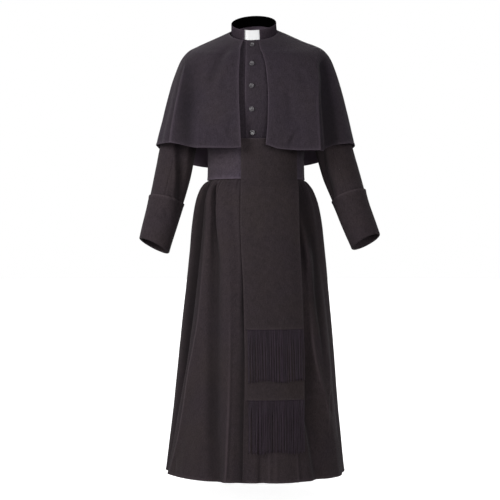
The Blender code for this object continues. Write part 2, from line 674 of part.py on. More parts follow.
def build_cape():
    """Two fronts and a back, seamed over the shoulders, open down the front."""
    heights = np.array([*CAPE_ROWS, CAPE_HEM])
    front = CAPE.at(heights).front
    edges = CAPE_EDGES.at(heights)
    left_edge, right_edge = np.arctan2(edges.left, front), np.arctan2(edges.right, front)
    left_seam, right_seam = cape_seam("left", heights), cape_seam("right", heights)
    # columns lie closer together towards the shoulder seams, where the ridges are
    late = 1 - (1 - np.linspace(0, 1, CAPE_FRONT_COLUMNS + 1)) ** CAPE_CROWDING
    even = np.linspace(0, 1, CAPE_BACK_COLUMNS + 1)
    both = (even + soft_step(0, 1, even)) / 2
    panel("cape_front_left", cape, heights, left_edge, left_seam, late, CLOTH_FINISH)
    panel("cape_front_right", cape, heights, -right_seam, -right_edge, 1 - late[::-1], CLOTH_FINISH)
    panel("cape_back", cape, heights, left_seam, 4 * SIDE - right_seam, both, CLOTH_FINISH)


def build_sleeves():
    """Each sleeve is an upper and an under piece, seamed in front and behind, with its cuff."""
    for side, wrist in WRISTS.items():
        length = SLEEVE_TOP - wrist
        stations = np.concatenate([SLEEVE_CAP_ROWS, 1 + length * np.array(SLEEVE_ARM_ROWS)])
        for piece, start in (("upper", -SIDE), ("under", SIDE)):
            around = np.linspace(start, start + BACK, SLEEVE_COLUMNS + 1)
            first, second = np.meshgrid(around, stations)
            name = f"sleeve_{side}_{piece}"
            wall(name, sleeve(side), first, second, CLOTH, CLOTH_FINISH, side == "right")
        down = np.linspace(1 + length - CUFF_HEIGHT, 1 + length + CUFF_OVERRUN, 4)
        around = np.linspace(CUFF_JOIN, CUFF_JOIN + 4 * SIDE, CUFF_COLUMNS + 1)
        first, second = np.meshgrid(around, down)
        wall(f"cuff_{side}", cuff(side), first, second, CLOTH, CLOTH_FINISH, side == "right")


def build_collar():
    """The stand collar, cut away in front, and the white tab held behind its ends."""
    heights = np.array([COLLAR.keys[0], 0.019, COLLAR.keys[-1]])
    end = 4 * SIDE - COLLAR_GAP
    panel("collar", collar, heights, COLLAR_GAP, end, 26, CLOTH_FINISH, STIFF_CLOTH)
    plastic = ("tab_plastic", TAB_PLASTIC)
    panel("collar_tab", collar_tab, TAB_HEIGHTS, -TAB_REACH, TAB_REACH, 10, plastic, TAB_SHEET)


def build_sash():
    """The waist band, butted behind the hanging ends, the two ends and their fringes."""
    finish = ("sash_cloth", SASH_CLOTH)
    heights = np.linspace(SASH_BOTTOM, SASH_TOP, 4)
    panel("sash_band", sash_band, heights, SASH_JOIN, SASH_JOIN + 4 * SIDE, 34, finish)
    for layer, (name, bottom) in enumerate(reversed(SASH_ENDS.items()), start=1):
        surface = sash_fall(layer)
        drops = [drop for drop in SASH_FALL_ROWS if drop > bottom + 0.02]
        across, heights = np.meshgrid(np.linspace(0, SASH_WIDTH, 9), [*drops, bottom])
        wall(name, surface, across, heights, CLOTH, finish, inside_out=True)
        build_fringe(name.replace("end", "fringe"), surface, bottom - GAP, layer)


def build_fringe(name, surface, top, seed):
    """A heading strip whose lower edge runs out into strands, all one body."""
    chance = np.random.default_rng(seed)
    cells = 2 * FRINGE_STRANDS - 1
    pitch = (FRINGE_END - FRINGE_START) / (FRINGE_STRANDS - 1 + STRAND_SHARE)
    steps = np.array([i // 2 + i % 2 * STRAND_SHARE for i in range(cells + 1)])
    edges = FRINGE_START + steps * pitch
    mesh = bmesh.new()

    def corners(across, height):
        """New vertices round a slab's section: the outer ones in order, then the inner ones."""
        height = np.full(np.shape(across), height)
        outer = surface(across, height)
        inner = outer + normals(surface, across, height) * FRINGE_THICKNESS
        return [[mesh.verts.new(p) for p in skin] for skin in (outer, inner)]

    def tube(upper, lower):
        """The four walls between two sections that have four corners each."""
        above, below = (skins[0] + skins[1][::-1] for skins in (upper, lower))
        for i in range(4):
            j = (i + 1) % 4
            mesh.faces.new((above[i], above[j], below[j], below[i]))

    head, foot = corners(edges, top), corners(edges, top - FRINGE_HEADING)
    for i in range(cells):
        for upper, lower in zip(head, foot):
            mesh.faces.new((upper[i], upper[i + 1], lower[i + 1], lower[i]))
        mesh.faces.new((head[0][i], head[0][i + 1], head[1][i + 1], head[1][i]))
        if i % 2:
            mesh.faces.new((foot[0][i], foot[0][i + 1], foot[1][i + 1], foot[1][i]))
    for i in (0, cells):
        mesh.faces.new((head[0][i], head[1][i], foot[1][i], foot[0][i]))
    for i in range(0, cells, 2):
        length = FRINGE_LENGTH - FRINGE_HEADING - chance.uniform(0, STRAND_UNEVENNESS)
        above = [skin[i : i + 2] for skin in foot]
        for segment in range(1, STRAND_SEGMENTS + 1):
            drop = FRINGE_HEADING + length * segment / STRAND_SEGMENTS
            sway = chance.uniform(-STRAND_SWAY, STRAND_SWAY)
            below = corners(edges[i : i + 2] + sway, top - drop)
            tube(above, below)
            above = below
        mesh.faces.new(above[0] + above[1][::-1])
    bmesh.ops.recalc_face_normals(mesh, faces=mesh.faces)
    return finished(name, mesh, ("fringe_cord", FRINGE_CORD))


def build_buttons():
    """Turned buttons with a dished face, on the left front's edge band."""
    rings = np.linspace(BODICE.keys[0], BODICE.keys[-1], 500)
    chest = bodice(0.0, rings)[:, 2]
    for number, height in enumerate(np.interp(BUTTON_HEIGHTS, chest, rings), start=1):
        mesh = bmesh.new()
        points = [
            mesh.verts.new((r * BUTTON_RADIUS, 0, h * BUTTON_THICKNESS)) for r, h in BUTTON_PROFILE
        ]
        edges = [mesh.edges.new(pair) for pair in zip(points, points[1:])]
        bmesh.ops.spin(
            mesh,
            geom=points + edges,
            axis=(0, 0, 1),
            cent=(0, 0, 0),
            angle=math.tau,
            steps=BUTTON_SIDES,
            use_merge=True,
        )
        bmesh.ops.remove_doubles(mesh, verts=mesh.verts, dist=1e-6)
        bmesh.ops.recalc_face_normals(mesh, faces=mesh.faces)
        item = finished(f"button_{number}", mesh, ("button_plastic", BUTTON_PLASTIC))
        place = np.array([0.0]), np.array([height])
        out = Vector(normals(bodice, *place)[0])
        item.location = Vector(bodice(*place)[0]) + out * BUTTON_LIFT
        item.rotation_euler = out.to_track_quat("Z", "Y").to_euler()


def main():
    clear_scene()
    build_bodice()
    build_skirt()
    build_cape()
    build_sleeves()
    build_collar()
    build_sash()
    build_buttons()


main()
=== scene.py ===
"""The looks of a black cassock with a shoulder cape, a white-tab collar and a fringed sash.

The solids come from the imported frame. Each piece of cloth here is a fine sheet on the same form:
rings round the body or the arm give the cut, folds run down it, and creases, seams, turned edges
and stitches are raised on it. Metres, +Z up, the wearer faces -Y and the wearer's left is +X.
"""

import logging
import math
from dataclasses import dataclass, field
from enum import Enum
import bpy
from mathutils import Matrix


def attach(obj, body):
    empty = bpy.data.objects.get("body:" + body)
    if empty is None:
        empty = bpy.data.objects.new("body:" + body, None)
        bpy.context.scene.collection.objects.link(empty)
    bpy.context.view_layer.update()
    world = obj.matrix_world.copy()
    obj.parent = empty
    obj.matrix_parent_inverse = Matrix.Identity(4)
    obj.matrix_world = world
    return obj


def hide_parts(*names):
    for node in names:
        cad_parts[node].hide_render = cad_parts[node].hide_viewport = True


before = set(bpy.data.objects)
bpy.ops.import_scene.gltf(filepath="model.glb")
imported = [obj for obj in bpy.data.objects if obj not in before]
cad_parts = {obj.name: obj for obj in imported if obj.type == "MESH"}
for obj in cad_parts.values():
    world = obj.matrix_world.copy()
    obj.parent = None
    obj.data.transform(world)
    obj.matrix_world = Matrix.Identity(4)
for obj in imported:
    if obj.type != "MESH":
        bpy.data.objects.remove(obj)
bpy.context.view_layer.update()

from types import SimpleNamespace
from typing import Any, Callable, NamedTuple, Sequence

import bpy
import numpy as np
from mathutils import Vector, noise

Array = np.ndarray
Edges = Callable[[Array], Array]
Color = tuple[float, float, float, float]
log = logging.getLogger("cassock")

BODY = "root"
CLOTH, STIFF_CLOTH, TAB_SHEET, CUFF_CLOTH = 0.0015, 0.002, 0.001, 0.0012
GAP = 0.0003  # between pieces
LAYER = 0.0026  # from one layer of cloth to the next
NUDGE = 1e-4
WAIST_SEAM = -0.400
HEM = -1.371
CAPE_HEM = -0.351
SASH_TOP, SASH_BOTTOM = -0.338, -0.461
SIDE, BACK, ROUND = math.radians(90), math.radians(180), math.radians(360)
CHEST = Vector((0.0, 0.0, -0.300))  # what the lamps face
SUN_DISTANCE = 6.0
WHITE: Color = (1.0, 1.0, 1.0, 1.0)
PALE: Color = (0.92, 0.92, 0.92, 1.0)
BLACK: Color = (0.0, 0.0, 0.0, 1.0)


def hermite(t: Array, start: Array, leave: Array, end: Array, arrive: Array) -> Array:
    """A cubic from start at t = 0 to end at 1, with its slopes at both ends."""
    from_start = (1 + 2 * t) * (1 - t) ** 2 * start + t * (1 - t) ** 2 * leave
    return from_start + t**2 * (3 - 2 * t) * end + t**2 * (t - 1) * arrive


class Table:
    """Rows of named columns, read at any value of the first one on a monotone cubic."""

    def __init__(self, columns: str, *rows: tuple[float, ...]) -> None:
        """Sorts the rows and works out their slopes.

        Args:
            columns: The columns' names, parted by spaces. The first is the key.
            rows: The values, one tuple for each row.
        """
        grid = np.array(sorted(rows), float)
        self.names = columns.split()
        self.keys, self.values = grid[:, 0], grid[:, 1:]
        self.steps = np.diff(self.keys)
        slopes = np.diff(self.values, axis=0) / self.steps[:, None]
        before, after = slopes[:-1], slopes[1:]
        near = (self.steps[1:] * 2 + self.steps[:-1])[:, None]
        far = (self.steps[1:] + self.steps[:-1] * 2)[:, None]
        same_way = before * after > 0
        share = near / np.where(same_way, before, 1) + far / np.where(same_way, after, 1)
        middle = np.where(same_way, (near + far) / share, 0)
        self.tangents = np.concatenate([slopes[:1], middle, slopes[-1:]])

    def at(self, key: Array | float) -> SimpleNamespace:
        """Reads the table. Beyond the first and last rows it runs straight on.

        Args:
            key: A number or an array of them.

        Returns:
            The row at key, with one attribute for each column.
        """
        key = np.asarray(key, float)
        held = np.clip(key, self.keys[0], self.keys[-1])
        i = np.clip(np.searchsorted(self.keys, held, side="right") - 1, 0, len(self.steps) - 1)
        step = self.steps[i][..., None]
        t = (held - self.keys[i])[..., None] / step
        leave, arrive = step * self.tangents[i], step * self.tangents[i + 1]
        found = hermite(t, self.values[i], leave, self.values[i + 1], arrive)
        nearest_end = np.where(held > key, 0, len(self.keys) - 1)
        found = found + (key - held)[..., None] * self.tangents[nearest_end]
        return SimpleNamespace(**dict(zip(self.names, (key, *np.moveaxis(found, -1, 0)))))


class Fold(NamedTuple):
    """A fold that runs down a garment through four heights.

    Bearings are in degrees and depths in metres out from the wall, one for each height. It falls
    away over two widths, towards lesser and greater bearings. Crest 2 is a soft roll, 1 an edge.
    """

    bearings: tuple[float, float, float, float]
    depths: tuple[float, float, float, float]
    before: float
    after: float
    crest: float


class Crease(NamedTuple):
    """A trough or ridge between two places on a form, each a bearing in degrees and a height."""

    bearing: float
    height: float
    last_bearing: float
    last_height: float
    depth: float
    width: float
    bow: float = 0.0


def fold_rows(*rows: tuple[Any, ...]) -> tuple[Fold, ...]:
    """Folds from rows of bearings, depths, before, after and crest."""
    return tuple(Fold(*row) for row in rows)


def crease_rows(*rows: tuple[float, ...]) -> tuple[Crease, ...]:
    """Creases from rows of bearing, height, last bearing, last height, depth, width and bow."""
    return tuple(Crease(*row) for row in rows)


# Half width at the side, depth in front of and behind the body's axis, how square the ring is
# (2 is an ellipse), how far the ring leans back, and how far its middle is off to the left.
RING = "height side front back square lean shift"

BODICE = Table(
    RING,
    (0.0020, 0.0715, 0.0700, 0.0700, 2.00, 0.483, -0.003),
    (-0.0115, 0.0940, 0.0780, 0.0830, 2.00, 0.430, -0.002),
    (-0.0205, 0.1160, 0.0840, 0.0910, 2.00, 0.390, -0.002),
    (-0.0305, 0.1400, 0.0900, 0.0990, 2.00, 0.350, -0.001),
    (-0.0420, 0.1650, 0.0960, 0.1060, 2.05, 0.300, 0.000),
    (-0.0530, 0.1820, 0.1010, 0.1110, 2.10, 0.260, 0.000),
    (-0.0680, 0.1900, 0.1060, 0.1160, 2.20, 0.215, 0.000),
    (-0.0950, 0.1940, 0.1130, 0.1230, 2.30, 0.150, 0.000),
    (-0.1400, 0.1920, 0.1230, 0.1300, 2.35, 0.080, 0.000),
    (-0.1900, 0.1850, 0.1310, 0.1320, 2.30, 0.030, 0.000),
    (-0.2400, 0.1750, 0.1340, 0.1270, 2.25, 0.000, 0.001),
    (-0.3000, 0.1590, 0.1295, 0.1140, 2.20, 0.000, 0.002),
    (-0.3380, 0.1480, 0.1195, 0.1020, 2.15, 0.000, 0.003),
    (-0.4000, 0.1475, 0.1160, 0.0990, 2.10, 0.000, 0.003),
)

SKIRT = Table(
    RING,
    (-0.4000, 0.1475, 0.1160, 0.0990, 2.10, 0.0, 0.003),
    (-0.4610, 0.1485, 0.1170, 0.1020, 2.10, 0.0, 0.003),
    (-0.4670, 0.1590, 0.1200, 0.1080, 2.10, 0.0, 0.003),
    (-0.4750, 0.1680, 0.1250, 0.1180, 2.10, 0.0, 0.003),
    (-0.4910, 0.1800, 0.1340, 0.1330, 2.10, 0.0, 0.004),
    (-0.5225, 0.1920, 0.1460, 0.1520, 2.10, 0.0, 0.005),
    (-0.5855, 0.2035, 0.1610, 0.1740, 2.10, 0.0, 0.007),
    (-0.7115, 0.2150, 0.1800, 0.1920, 2.12, 0.0, 0.009),
    (-0.8375, 0.2270, 0.1950, 0.2060, 2.15, 0.0, 0.008),
    (-0.9950, 0.2420, 0.2130, 0.2230, 2.15, 0.0, 0.007),
    (-1.1525, 0.2550, 0.2310, 0.2400, 2.15, 0.0, 0.005),
    (-1.3710, 0.2790, 0.2560, 0.2630, 2.15, 0.0, 0.003),
)

SASH_BAND = Table(
    RING,
    (-0.3380, 0.1522, 0.1237, 0.1062, 2.15, 0.0, 0.003),
    (-0.4000, 0.1517, 0.1202, 0.1032, 2.10, 0.0, 0.003),
    (-0.4610, 0.1527, 0.1212, 0.1062, 2.10, 0.0, 0.003),
)

# What the hanging ends of the sash lie on: the band, then the fullest line of the skirt.
SASH_BED = Table(
    RING,
    (-0.3380, 0.1522, 0.1237, 0.1062, 2.15, 0.0, 0.003),
    (-0.4610, 0.1530, 0.1214, 0.1062, 2.10, 0.0, 0.003),
    (-0.4750, 0.1680, 0.1270, 0.1180, 2.10, 0.0, 0.003),
    (-0.4910, 0.1800, 0.1360, 0.1330, 2.10, 0.0, 0.004),
    (-0.5225, 0.1920, 0.1470, 0.1520, 2.10, 0.0, 0.005),
    (-0.5855, 0.2035, 0.1615, 0.1740, 2.10, 0.0, 0.007),
    (-0.7115, 0.2150, 0.1800, 0.1920, 2.12, 0.0, 0.009),
    (-0.8375, 0.2270, 0.1950, 0.2060, 2.15, 0.0, 0.008),
    (-0.9950, 0.2420, 0.2130, 0.2230, 2.15, 0.0, 0.007),
    (-1.1525, 0.2560, 0.2330, 0.2400, 2.15, 0.0, 0.005),
    (-1.3710, 0.2840, 0.2610, 0.2630, 2.15, 0.0, 0.003),
)

# Drop is how much of the hem's own unevenness each ring has.
CAPE = Table(
    RING + " drop",
    (0.0035, 0.0750, 0.0725, 0.0735, 2.00, 0.483, -0.004, 0.00),
    (-0.0060, 0.0965, 0.0815, 0.0870, 2.00, 0.440, -0.004, 0.00),
    (-0.0135, 0.1165, 0.0880, 0.0955, 2.00, 0.410, -0.004, 0.00),
    (-0.0225, 0.1395, 0.0940, 0.1035, 2.00, 0.370, -0.004, 0.00),
    (-0.0315, 0.1630, 0.1000, 0.1100, 2.00, 0.335, -0.003, 0.00),
    (-0.0405, 0.1875, 0.1060, 0.1160, 2.05, 0.300, -0.001, 0.00),
    (-0.0500, 0.2085, 0.1110, 0.1215, 2.10, 0.265, 0.000, 0.00),
    (-0.0690, 0.2285, 0.1190, 0.1290, 2.20, 0.210, 0.001, 0.00),
    (-0.0850, 0.2385, 0.1240, 0.1340, 2.25, 0.175, 0.001, 0.03),
    (-0.1150, 0.2505, 0.1320, 0.1410, 2.35, 0.125, 0.001, 0.11),
    (-0.1460, 0.2605, 0.1385, 0.1470, 2.40, 0.085, 0.001, 0.23),
    (-0.2080, 0.2775, 0.1480, 0.1570, 2.45, 0.025, 0.001, 0.46),
    (-0.2705, 0.2930, 0.1550, 0.1680, 2.45, 0.000, 0.001, 0.70),
    (-0.3335, 0.3090, 0.1600, 0.1800, 2.45, 0.000, 0.001, 0.93),
    (-0.3510, 0.3130, 0.1610, 0.1835, 2.45, 0.000, 0.001, 1.00),
)

COLLAR = Table(
    RING,
    (0.0024, 0.0717, 0.0702, 0.0702, 2.0, 0.483, -0.003),
    (0.0190, 0.0705, 0.0692, 0.0690, 2.0, 0.490, -0.0035),
    (0.0355, 0.0700, 0.0680, 0.0680, 2.0, 0.500, -0.004),
)

# Where the cape's free front edges hang, measured across the chest from the middle.
CAPE_EDGES = Table(
    "height right left",
    (0.0035, 0.0290, 0.0220),
    (-0.0500, 0.0370, 0.0330),
    (-0.1150, 0.0392, 0.0450),
    (-0.2080, 0.0375, 0.0515),
    (-0.2705, 0.0340, 0.0508),
    (-0.3510, 0.0297, 0.0455),
)

# The cape's shoulder seams, in degrees in front of each side.
CAPE_SEAMS = Table(
    "height right left",
    (0.0035, 0.0, 0.0),
    (-0.0405, 4.0, 5.0),
    (-0.0600, 11.0, 14.0),
    (-0.0950, 19.0, 23.5),
    (-0.1500, 21.8, 28.0),
    (-0.2100, 23.4, 31.6),
    (-0.2860, 24.2, 33.4),
    (-0.3510, 25.0, 34.4),
)

# How far the cape's hem hangs below a level one, at each bearing.
CAPE_DROP = Table(
    "bearing drop",
    (-180, 0.080),
    (-130, 0.057),
    (-105, 0.020),
    (-90, 0.000),
    (-68, -0.003),
    (-50, 0.016),
    (-18, 0.019),
    (-9, 0.017),
    (15, 0.010),
    (28, 0.022),
    (48, 0.027),
    (60, 0.027),
    (70, 0.005),
    (80, 0.000),
    (95, 0.003),
    (130, 0.045),
    (180, 0.080),
)

# The hanging ends' edge nearest the middle, measured across from it.
SASH_EDGE = Table(
    "height across",
    (-0.338, -0.0320),
    (-0.461, -0.0320),
    (-0.586, -0.0304),
    (-0.838, -0.0172),
    (-1.153, -0.0098),
    (-1.371, -0.0080),
)

SKIRT_STATIONS = (-0.461, -0.700, -1.050, HEM)  # waist, hip, knee and hem
SKIRT_FOLD_START = (-0.459, -0.520)  # from here to here the folds open out below the sash
SKIRT_FOLDS = fold_rows(
    # the wearer's right of the front
    ((-86, -85, -85, -88), (0.000, 0.003, 0.004, 0.006), 0.050, 0.045, 2.0),
    ((-68, -64, -64.5, -76), (-0.012, -0.018, -0.019, -0.012), 0.024, 0.014, 1.8),
    ((-60, -56, -57.5, -69), (0.005, 0.008, 0.008, 0.006), 0.014, 0.045, 1.25),
    ((-54, -39.5, -31, -22.5), (-0.013, -0.011, -0.009, -0.008), 0.016, 0.026, 1.8),
    ((-44, -29.5, -19.5, -14), (0.003, 0.003, 0.003, 0.005), 0.034, 0.020, 1.7),
    ((-28, -16, -10, -8), (-0.006, -0.003, -0.002, -0.003), 0.010, 0.012, 1.8),
    # behind the sash ends, then the wearer's left of the front
    ((12, 10, 9.5, 9.5), (-0.003, -0.003, -0.004, -0.008), 0.016, 0.018, 1.7),
    ((24, 24, 24, 24), (0.000, 0.000, 0.000, 0.005), 0.045, 0.035, 2.0),
    ((38, 36, 35, 35), (-0.002, -0.002, -0.002, -0.003), 0.010, 0.020, 1.5),
    ((64, 48, 46, 50), (-0.014, -0.016, -0.018, -0.016), 0.022, 0.022, 1.9),
    ((60, 56, 61, 68), (0.000, 0.004, 0.008, 0.006), 0.026, 0.034, 1.5),
    ((78, 74, 77, 81), (-0.010, -0.006, -0.005, -0.006), 0.020, 0.022, 1.8),
    # the back
    ((102, 100, 101, 102), (-0.012, -0.014, -0.013, -0.010), 0.024, 0.028, 1.9),
    ((114, 113, 114, 116), (0.004, 0.006, 0.006, 0.006), 0.022, 0.030, 1.6),
    ((127, 128, 129, 131), (-0.013, -0.015, -0.014, -0.012), 0.024, 0.026, 1.9),
    ((141, 143, 144, 146), (0.003, 0.005, 0.006, 0.006), 0.030, 0.022, 1.7),
    ((154, 157, 158, 159), (-0.012, -0.013, -0.012, -0.011), 0.024, 0.026, 1.9),
    ((168, 170, 171, 172), (0.003, 0.005, 0.005, 0.005), 0.024, 0.024, 1.8),
    ((181, 182, 183, 184), (-0.012, -0.014, -0.013, -0.011), 0.026, 0.024, 1.9),
    ((194, 196, 197, 198), (0.004, 0.006, 0.006, 0.006), 0.022, 0.030, 1.7),
    ((207, 210, 211, 212), (-0.013, -0.013, -0.013, -0.012), 0.026, 0.024, 1.9),
    ((221, 224, 226, 227), (0.003, 0.005, 0.006, 0.005), 0.028, 0.024, 1.8),
    ((235, 238, 240, 242), (-0.012, -0.015, -0.014, -0.011), 0.026, 0.026, 1.9),
    ((250, 252, 254, 256), (0.004, 0.006, 0.006, 0.006), 0.022, 0.028, 1.7),
    ((262, 264, 265, 266), (-0.010, -0.009, -0.008, -0.007), 0.022, 0.022, 1.9),
)
# Narrow pleats on the folds above, too small for the solids, a row for each height. Bearings are in
# degrees, depths in metres out from the wall, and each falls away over two widths. The last column
# is painted light: above 0 a painted highlight along the pleat's crest, below 0 painted shade in its hollow.
PLEAT = "height bearing depth before after shine"
SKIRT_PLEATS = (
    # the deep valley at the wearer's right, the pressed edge beside it, and the next valley
    Table(
        PLEAT,
        (-0.462, -68.0, -0.006, 0.018, 0.014, -0.5),
        (-0.495, -67.0, -0.012, 0.020, 0.018, -0.8),
        (-0.572, -64.0, -0.016, 0.030, 0.028, -1.3),
        (-0.700, -64.5, -0.018, 0.032, 0.034, -0.9),
        (-0.835, -64.0, -0.018, 0.034, 0.034, -0.9),
        (-0.960, -65.0, -0.016, 0.034, 0.034, -0.6),
        (-1.086, -67.0, -0.010, 0.030, 0.030, -0.2),
        (-1.250, -69.0, -0.004, 0.026, 0.026, 0.0),
        (-1.340, -69.0, -0.001, 0.020, 0.020, 0.0),
    ),
    Table(
        PLEAT,
        (-0.470, -61.0, 0.000, 0.004, 0.010, 0.0),
        (-0.540, -54.0, 0.003, 0.004, 0.012, 0.0),
        (-0.620, -50.0, 0.005, 0.004, 0.014, 0.1),
        (-0.700, -48.5, 0.006, 0.004, 0.016, 0.3),
        (-0.860, -47.5, 0.006, 0.004, 0.018, 0.6),
        (-0.990, -50.0, 0.006, 0.004, 0.018, 0.9),
        (-1.050, -52.5, 0.005, 0.004, 0.018, 1.0),
        (-1.190, -55.5, 0.005, 0.004, 0.018, 1.0),
        (-1.260, -58.0, 0.004, 0.004, 0.016, 0.9),
        (-1.320, -62.0, 0.003, 0.005, 0.014, 0.7),
        (-1.371, -66.0, 0.002, 0.008, 0.012, 0.4),
    ),
    Table(
        PLEAT,
        (-0.462, -54.0, -0.010, 0.004, 0.005, 0.0),
        (-0.500, -51.5, -0.016, 0.005, 0.006, 0.0),
        (-0.573, -46.5, -0.016, 0.005, 0.007, 0.0),
        (-0.650, -42.5, -0.013, 0.008, 0.012, -0.1),
        (-0.700, -40.0, -0.010, 0.012, 0.018, -0.2),
        (-0.830, -36.0, -0.009, 0.018, 0.022, -0.2),
        (-0.950, -33.5, -0.008, 0.020, 0.024, -0.2),
        (-1.190, -28.5, -0.008, 0.022, 0.024, -0.2),
        (-1.371, -23.5, -0.006, 0.024, 0.022, -0.2),
    ),
    # the soft ridge before the sash ends and the hollow beside them
    Table(
        PLEAT,
        (-0.560, -30.0, 0.000, 0.012, 0.010, 0.0),
        (-0.700, -24.0, 0.002, 0.014, 0.008, 0.0),
        (-0.830, -20.0, 0.003, 0.014, 0.008, 0.1),
        (-0.950, -18.0, 0.004, 0.014, 0.007, 0.3),
        (-1.070, -16.5, 0.005, 0.013, 0.006, 0.5),
        (-1.190, -15.5, 0.006, 0.012, 0.005, 0.9),
        (-1.371, -15.0, 0.008, 0.012, 0.004, 0.8),
    ),
    Table(
        PLEAT,
        (-0.462, -13.5, -0.003, 0.003, 0.004, 0.0),
        (-0.620, -12.5, -0.003, 0.003, 0.004, 0.0),
        (-0.700, -9.0, -0.004, 0.011, 0.012, -0.6),
        (-0.850, -7.6, -0.004, 0.013, 0.012, -1.0),
        (-0.950, -7.0, -0.003, 0.012, 0.012, -0.8),
        (-1.070, -6.3, -0.003, 0.013, 0.012, -1.0),
        (-1.371, -5.2, -0.003, 0.012, 0.012, -0.8),
    ),
    # the valley beyond the sash ends, the thin ridge that crosses it, and the dark side of that
    Table(
        PLEAT,
        (-0.462, 58.0, -0.004, 0.010, 0.010, -0.3),
        (-0.520, 54.5, -0.010, 0.008, 0.009, -0.6),
        (-0.573, 52.5, -0.012, 0.008, 0.009, -0.6),
        (-0.620, 51.5, -0.012, 0.009, 0.008, -0.5),
        (-0.700, 50.5, -0.010, 0.009, 0.007, -0.3),
        (-0.800, 50.0, -0.003, 0.009, 0.007, 0.0),
        (-0.890, 47.0, -0.003, 0.012, 0.009, 0.0),
        (-1.050, 46.0, -0.010, 0.014, 0.016, 0.0),
        (-1.160, 44.5, -0.012, 0.016, 0.020, 0.0),
        (-1.300, 46.0, -0.005, 0.016, 0.024, 0.0),
        (-1.371, 48.0, -0.002, 0.016, 0.024, 0.0),
    ),
    Table(
        PLEAT,
        (-0.520, 56.0, 0.000, 0.006, 0.006, 0.0),
        (-0.600, 55.5, 0.003, 0.006, 0.006, 0.1),
        (-0.680, 54.5, 0.005, 0.006, 0.006, 0.2),
        (-0.800, 53.0, 0.002, 0.006, 0.006, 0.0),
        (-0.890, 52.5, 0.005, 0.008, 0.006, 0.3),
        (-0.953, 52.2, 0.008, 0.009, 0.007, 0.7),
        (-1.052, 54.2, 0.008, 0.010, 0.008, 0.5),
        (-1.136, 59.0, 0.006, 0.012, 0.010, 0.5),
        (-1.200, 60.5, 0.003, 0.012, 0.010, 0.5),
        (-1.260, 61.5, 0.000, 0.012, 0.010, 0.0),
    ),
    Table(
        PLEAT,
        (-0.462, 68.0, -0.004, 0.018, 0.016, -0.5),
        (-0.495, 64.5, -0.008, 0.026, 0.022, -0.6),
        (-0.573, 61.0, -0.010, 0.026, 0.028, -0.35),
        (-0.700, 63.5, -0.012, 0.022, 0.028, -0.45),
        (-0.833, 60.5, -0.012, 0.020, 0.026, -0.4),
        (-0.953, 60.5, -0.007, 0.012, 0.016, -0.3),
        (-1.050, 61.0, -0.003, 0.010, 0.014, -0.1),
        (-1.100, 65.0, 0.000, 0.010, 0.014, 0.0),
    ),
    # the hem's small pleats below the fringe
    Table(PLEAT, (-1.150, 7.5, 0.0, 0.006, 0.005, 0), (-1.371, 7.5, -0.0035, 0.006, 0.005, 0)),
    Table(PLEAT, (-1.150, 13.5, 0.0, 0.007, 0.007, 0), (-1.371, 13.5, 0.0030, 0.007, 0.007, 0.4)),
    Table(PLEAT, (-1.150, 18.0, 0.0, 0.005, 0.007, 0), (-1.371, 18.0, 0.0025, 0.005, 0.007, 0.3)),
    Table(PLEAT, (-1.150, 33.0, 0.0, 0.006, 0.004, 0), (-1.371, 33.0, 0.0030, 0.006, 0.004, 0.7)),
)
PLEAT_START = (-0.459, -0.480)  # from here to here the pleats open out below the sash
CREST_HIGHLIGHT_WIDTH = 0.0030  # half the width of a painted highlight along a crest
HOLLOW = 0.016  # a trough this deep gets the full painted shade of a hollow
SEAM_HIGHLIGHT = 0.7  # how strong the painted highlight along the cape's seam ridges is at the hem

CAPE_STATIONS = (0.0, -0.110, -0.230, CAPE_HEM)  # neck, upper arm, elbow and hem
CAPE_FOLD_START = (-0.050, -0.110)
CAPE_FOLDS = fold_rows(
    # the fronts
    ((-28, -31, -34, -36), (0.000, 0.001, 0.002, 0.003), 0.040, 0.040, 2.0),
    ((-52, -55, -57, -58), (0.000, -0.003, -0.006, -0.008), 0.022, 0.028, 1.9),
    ((38, 39, 40, 41), (0.000, -0.002, -0.004, -0.005), 0.030, 0.030, 2.0),
    # the back
    ((112, 115, 117, 119), (0.000, -0.002, -0.006, -0.011), 0.028, 0.030, 2.0),
    ((133, 134, 136, 137), (0.000, 0.002, 0.004, 0.007), 0.028, 0.028, 1.9),
    ((152, 152, 152, 153), (0.000, -0.002, -0.006, -0.011), 0.028, 0.028, 2.0),
    ((172, 171, 171, 170), (0.000, 0.002, 0.004, 0.007), 0.028, 0.028, 1.9),
    ((190, 189, 189, 188), (0.000, -0.002, -0.006, -0.010), 0.028, 0.028, 2.0),
    ((208, 207, 207, 206), (0.000, 0.002, 0.004, 0.007), 0.028, 0.028, 1.9),
    ((227, 226, 224, 223), (0.000, -0.002, -0.006, -0.011), 0.030, 0.028, 2.0),
    ((248, 246, 244, 242), (0.000, 0.002, 0.004, 0.006), 0.028, 0.028, 1.9),
)
# The ridges along the shoulder seams and the hollows by them, in degrees behind the seam.
CAPE_SEAM_FOLDS = {
    "right": fold_rows(
        ((0, 0, 0, 0), (0.002, 0.005, 0.008, 0.010), 0.026, 0.012, 1.3),
        ((10, 10, 11, 12), (0.000, -0.003, -0.006, -0.008), 0.016, 0.020, 2.0),
    ),
    "left": fold_rows(
        ((0, 0, 0, 0), (0.002, 0.006, 0.010, 0.013), 0.036, 0.010, 1.2),
        ((8, 8, 8.5, 9), (-0.006, -0.013, -0.017, -0.021), 0.014, 0.022, 1.8),
    ),
}
# The pressed edge that the seam makes along each ridge and the drop close behind it.
CAPE_SEAM_EDGES = fold_rows(
    ((0, 0, 0, 0), (0.0003, 0.0016, 0.0020, 0.0022), 0.006, 0.003, 1.2),
    ((2.6, 2.6, 2.6, 2.6), (0.000, -0.0030, -0.0045, -0.0055), 0.005, 0.012, 1.7),
)
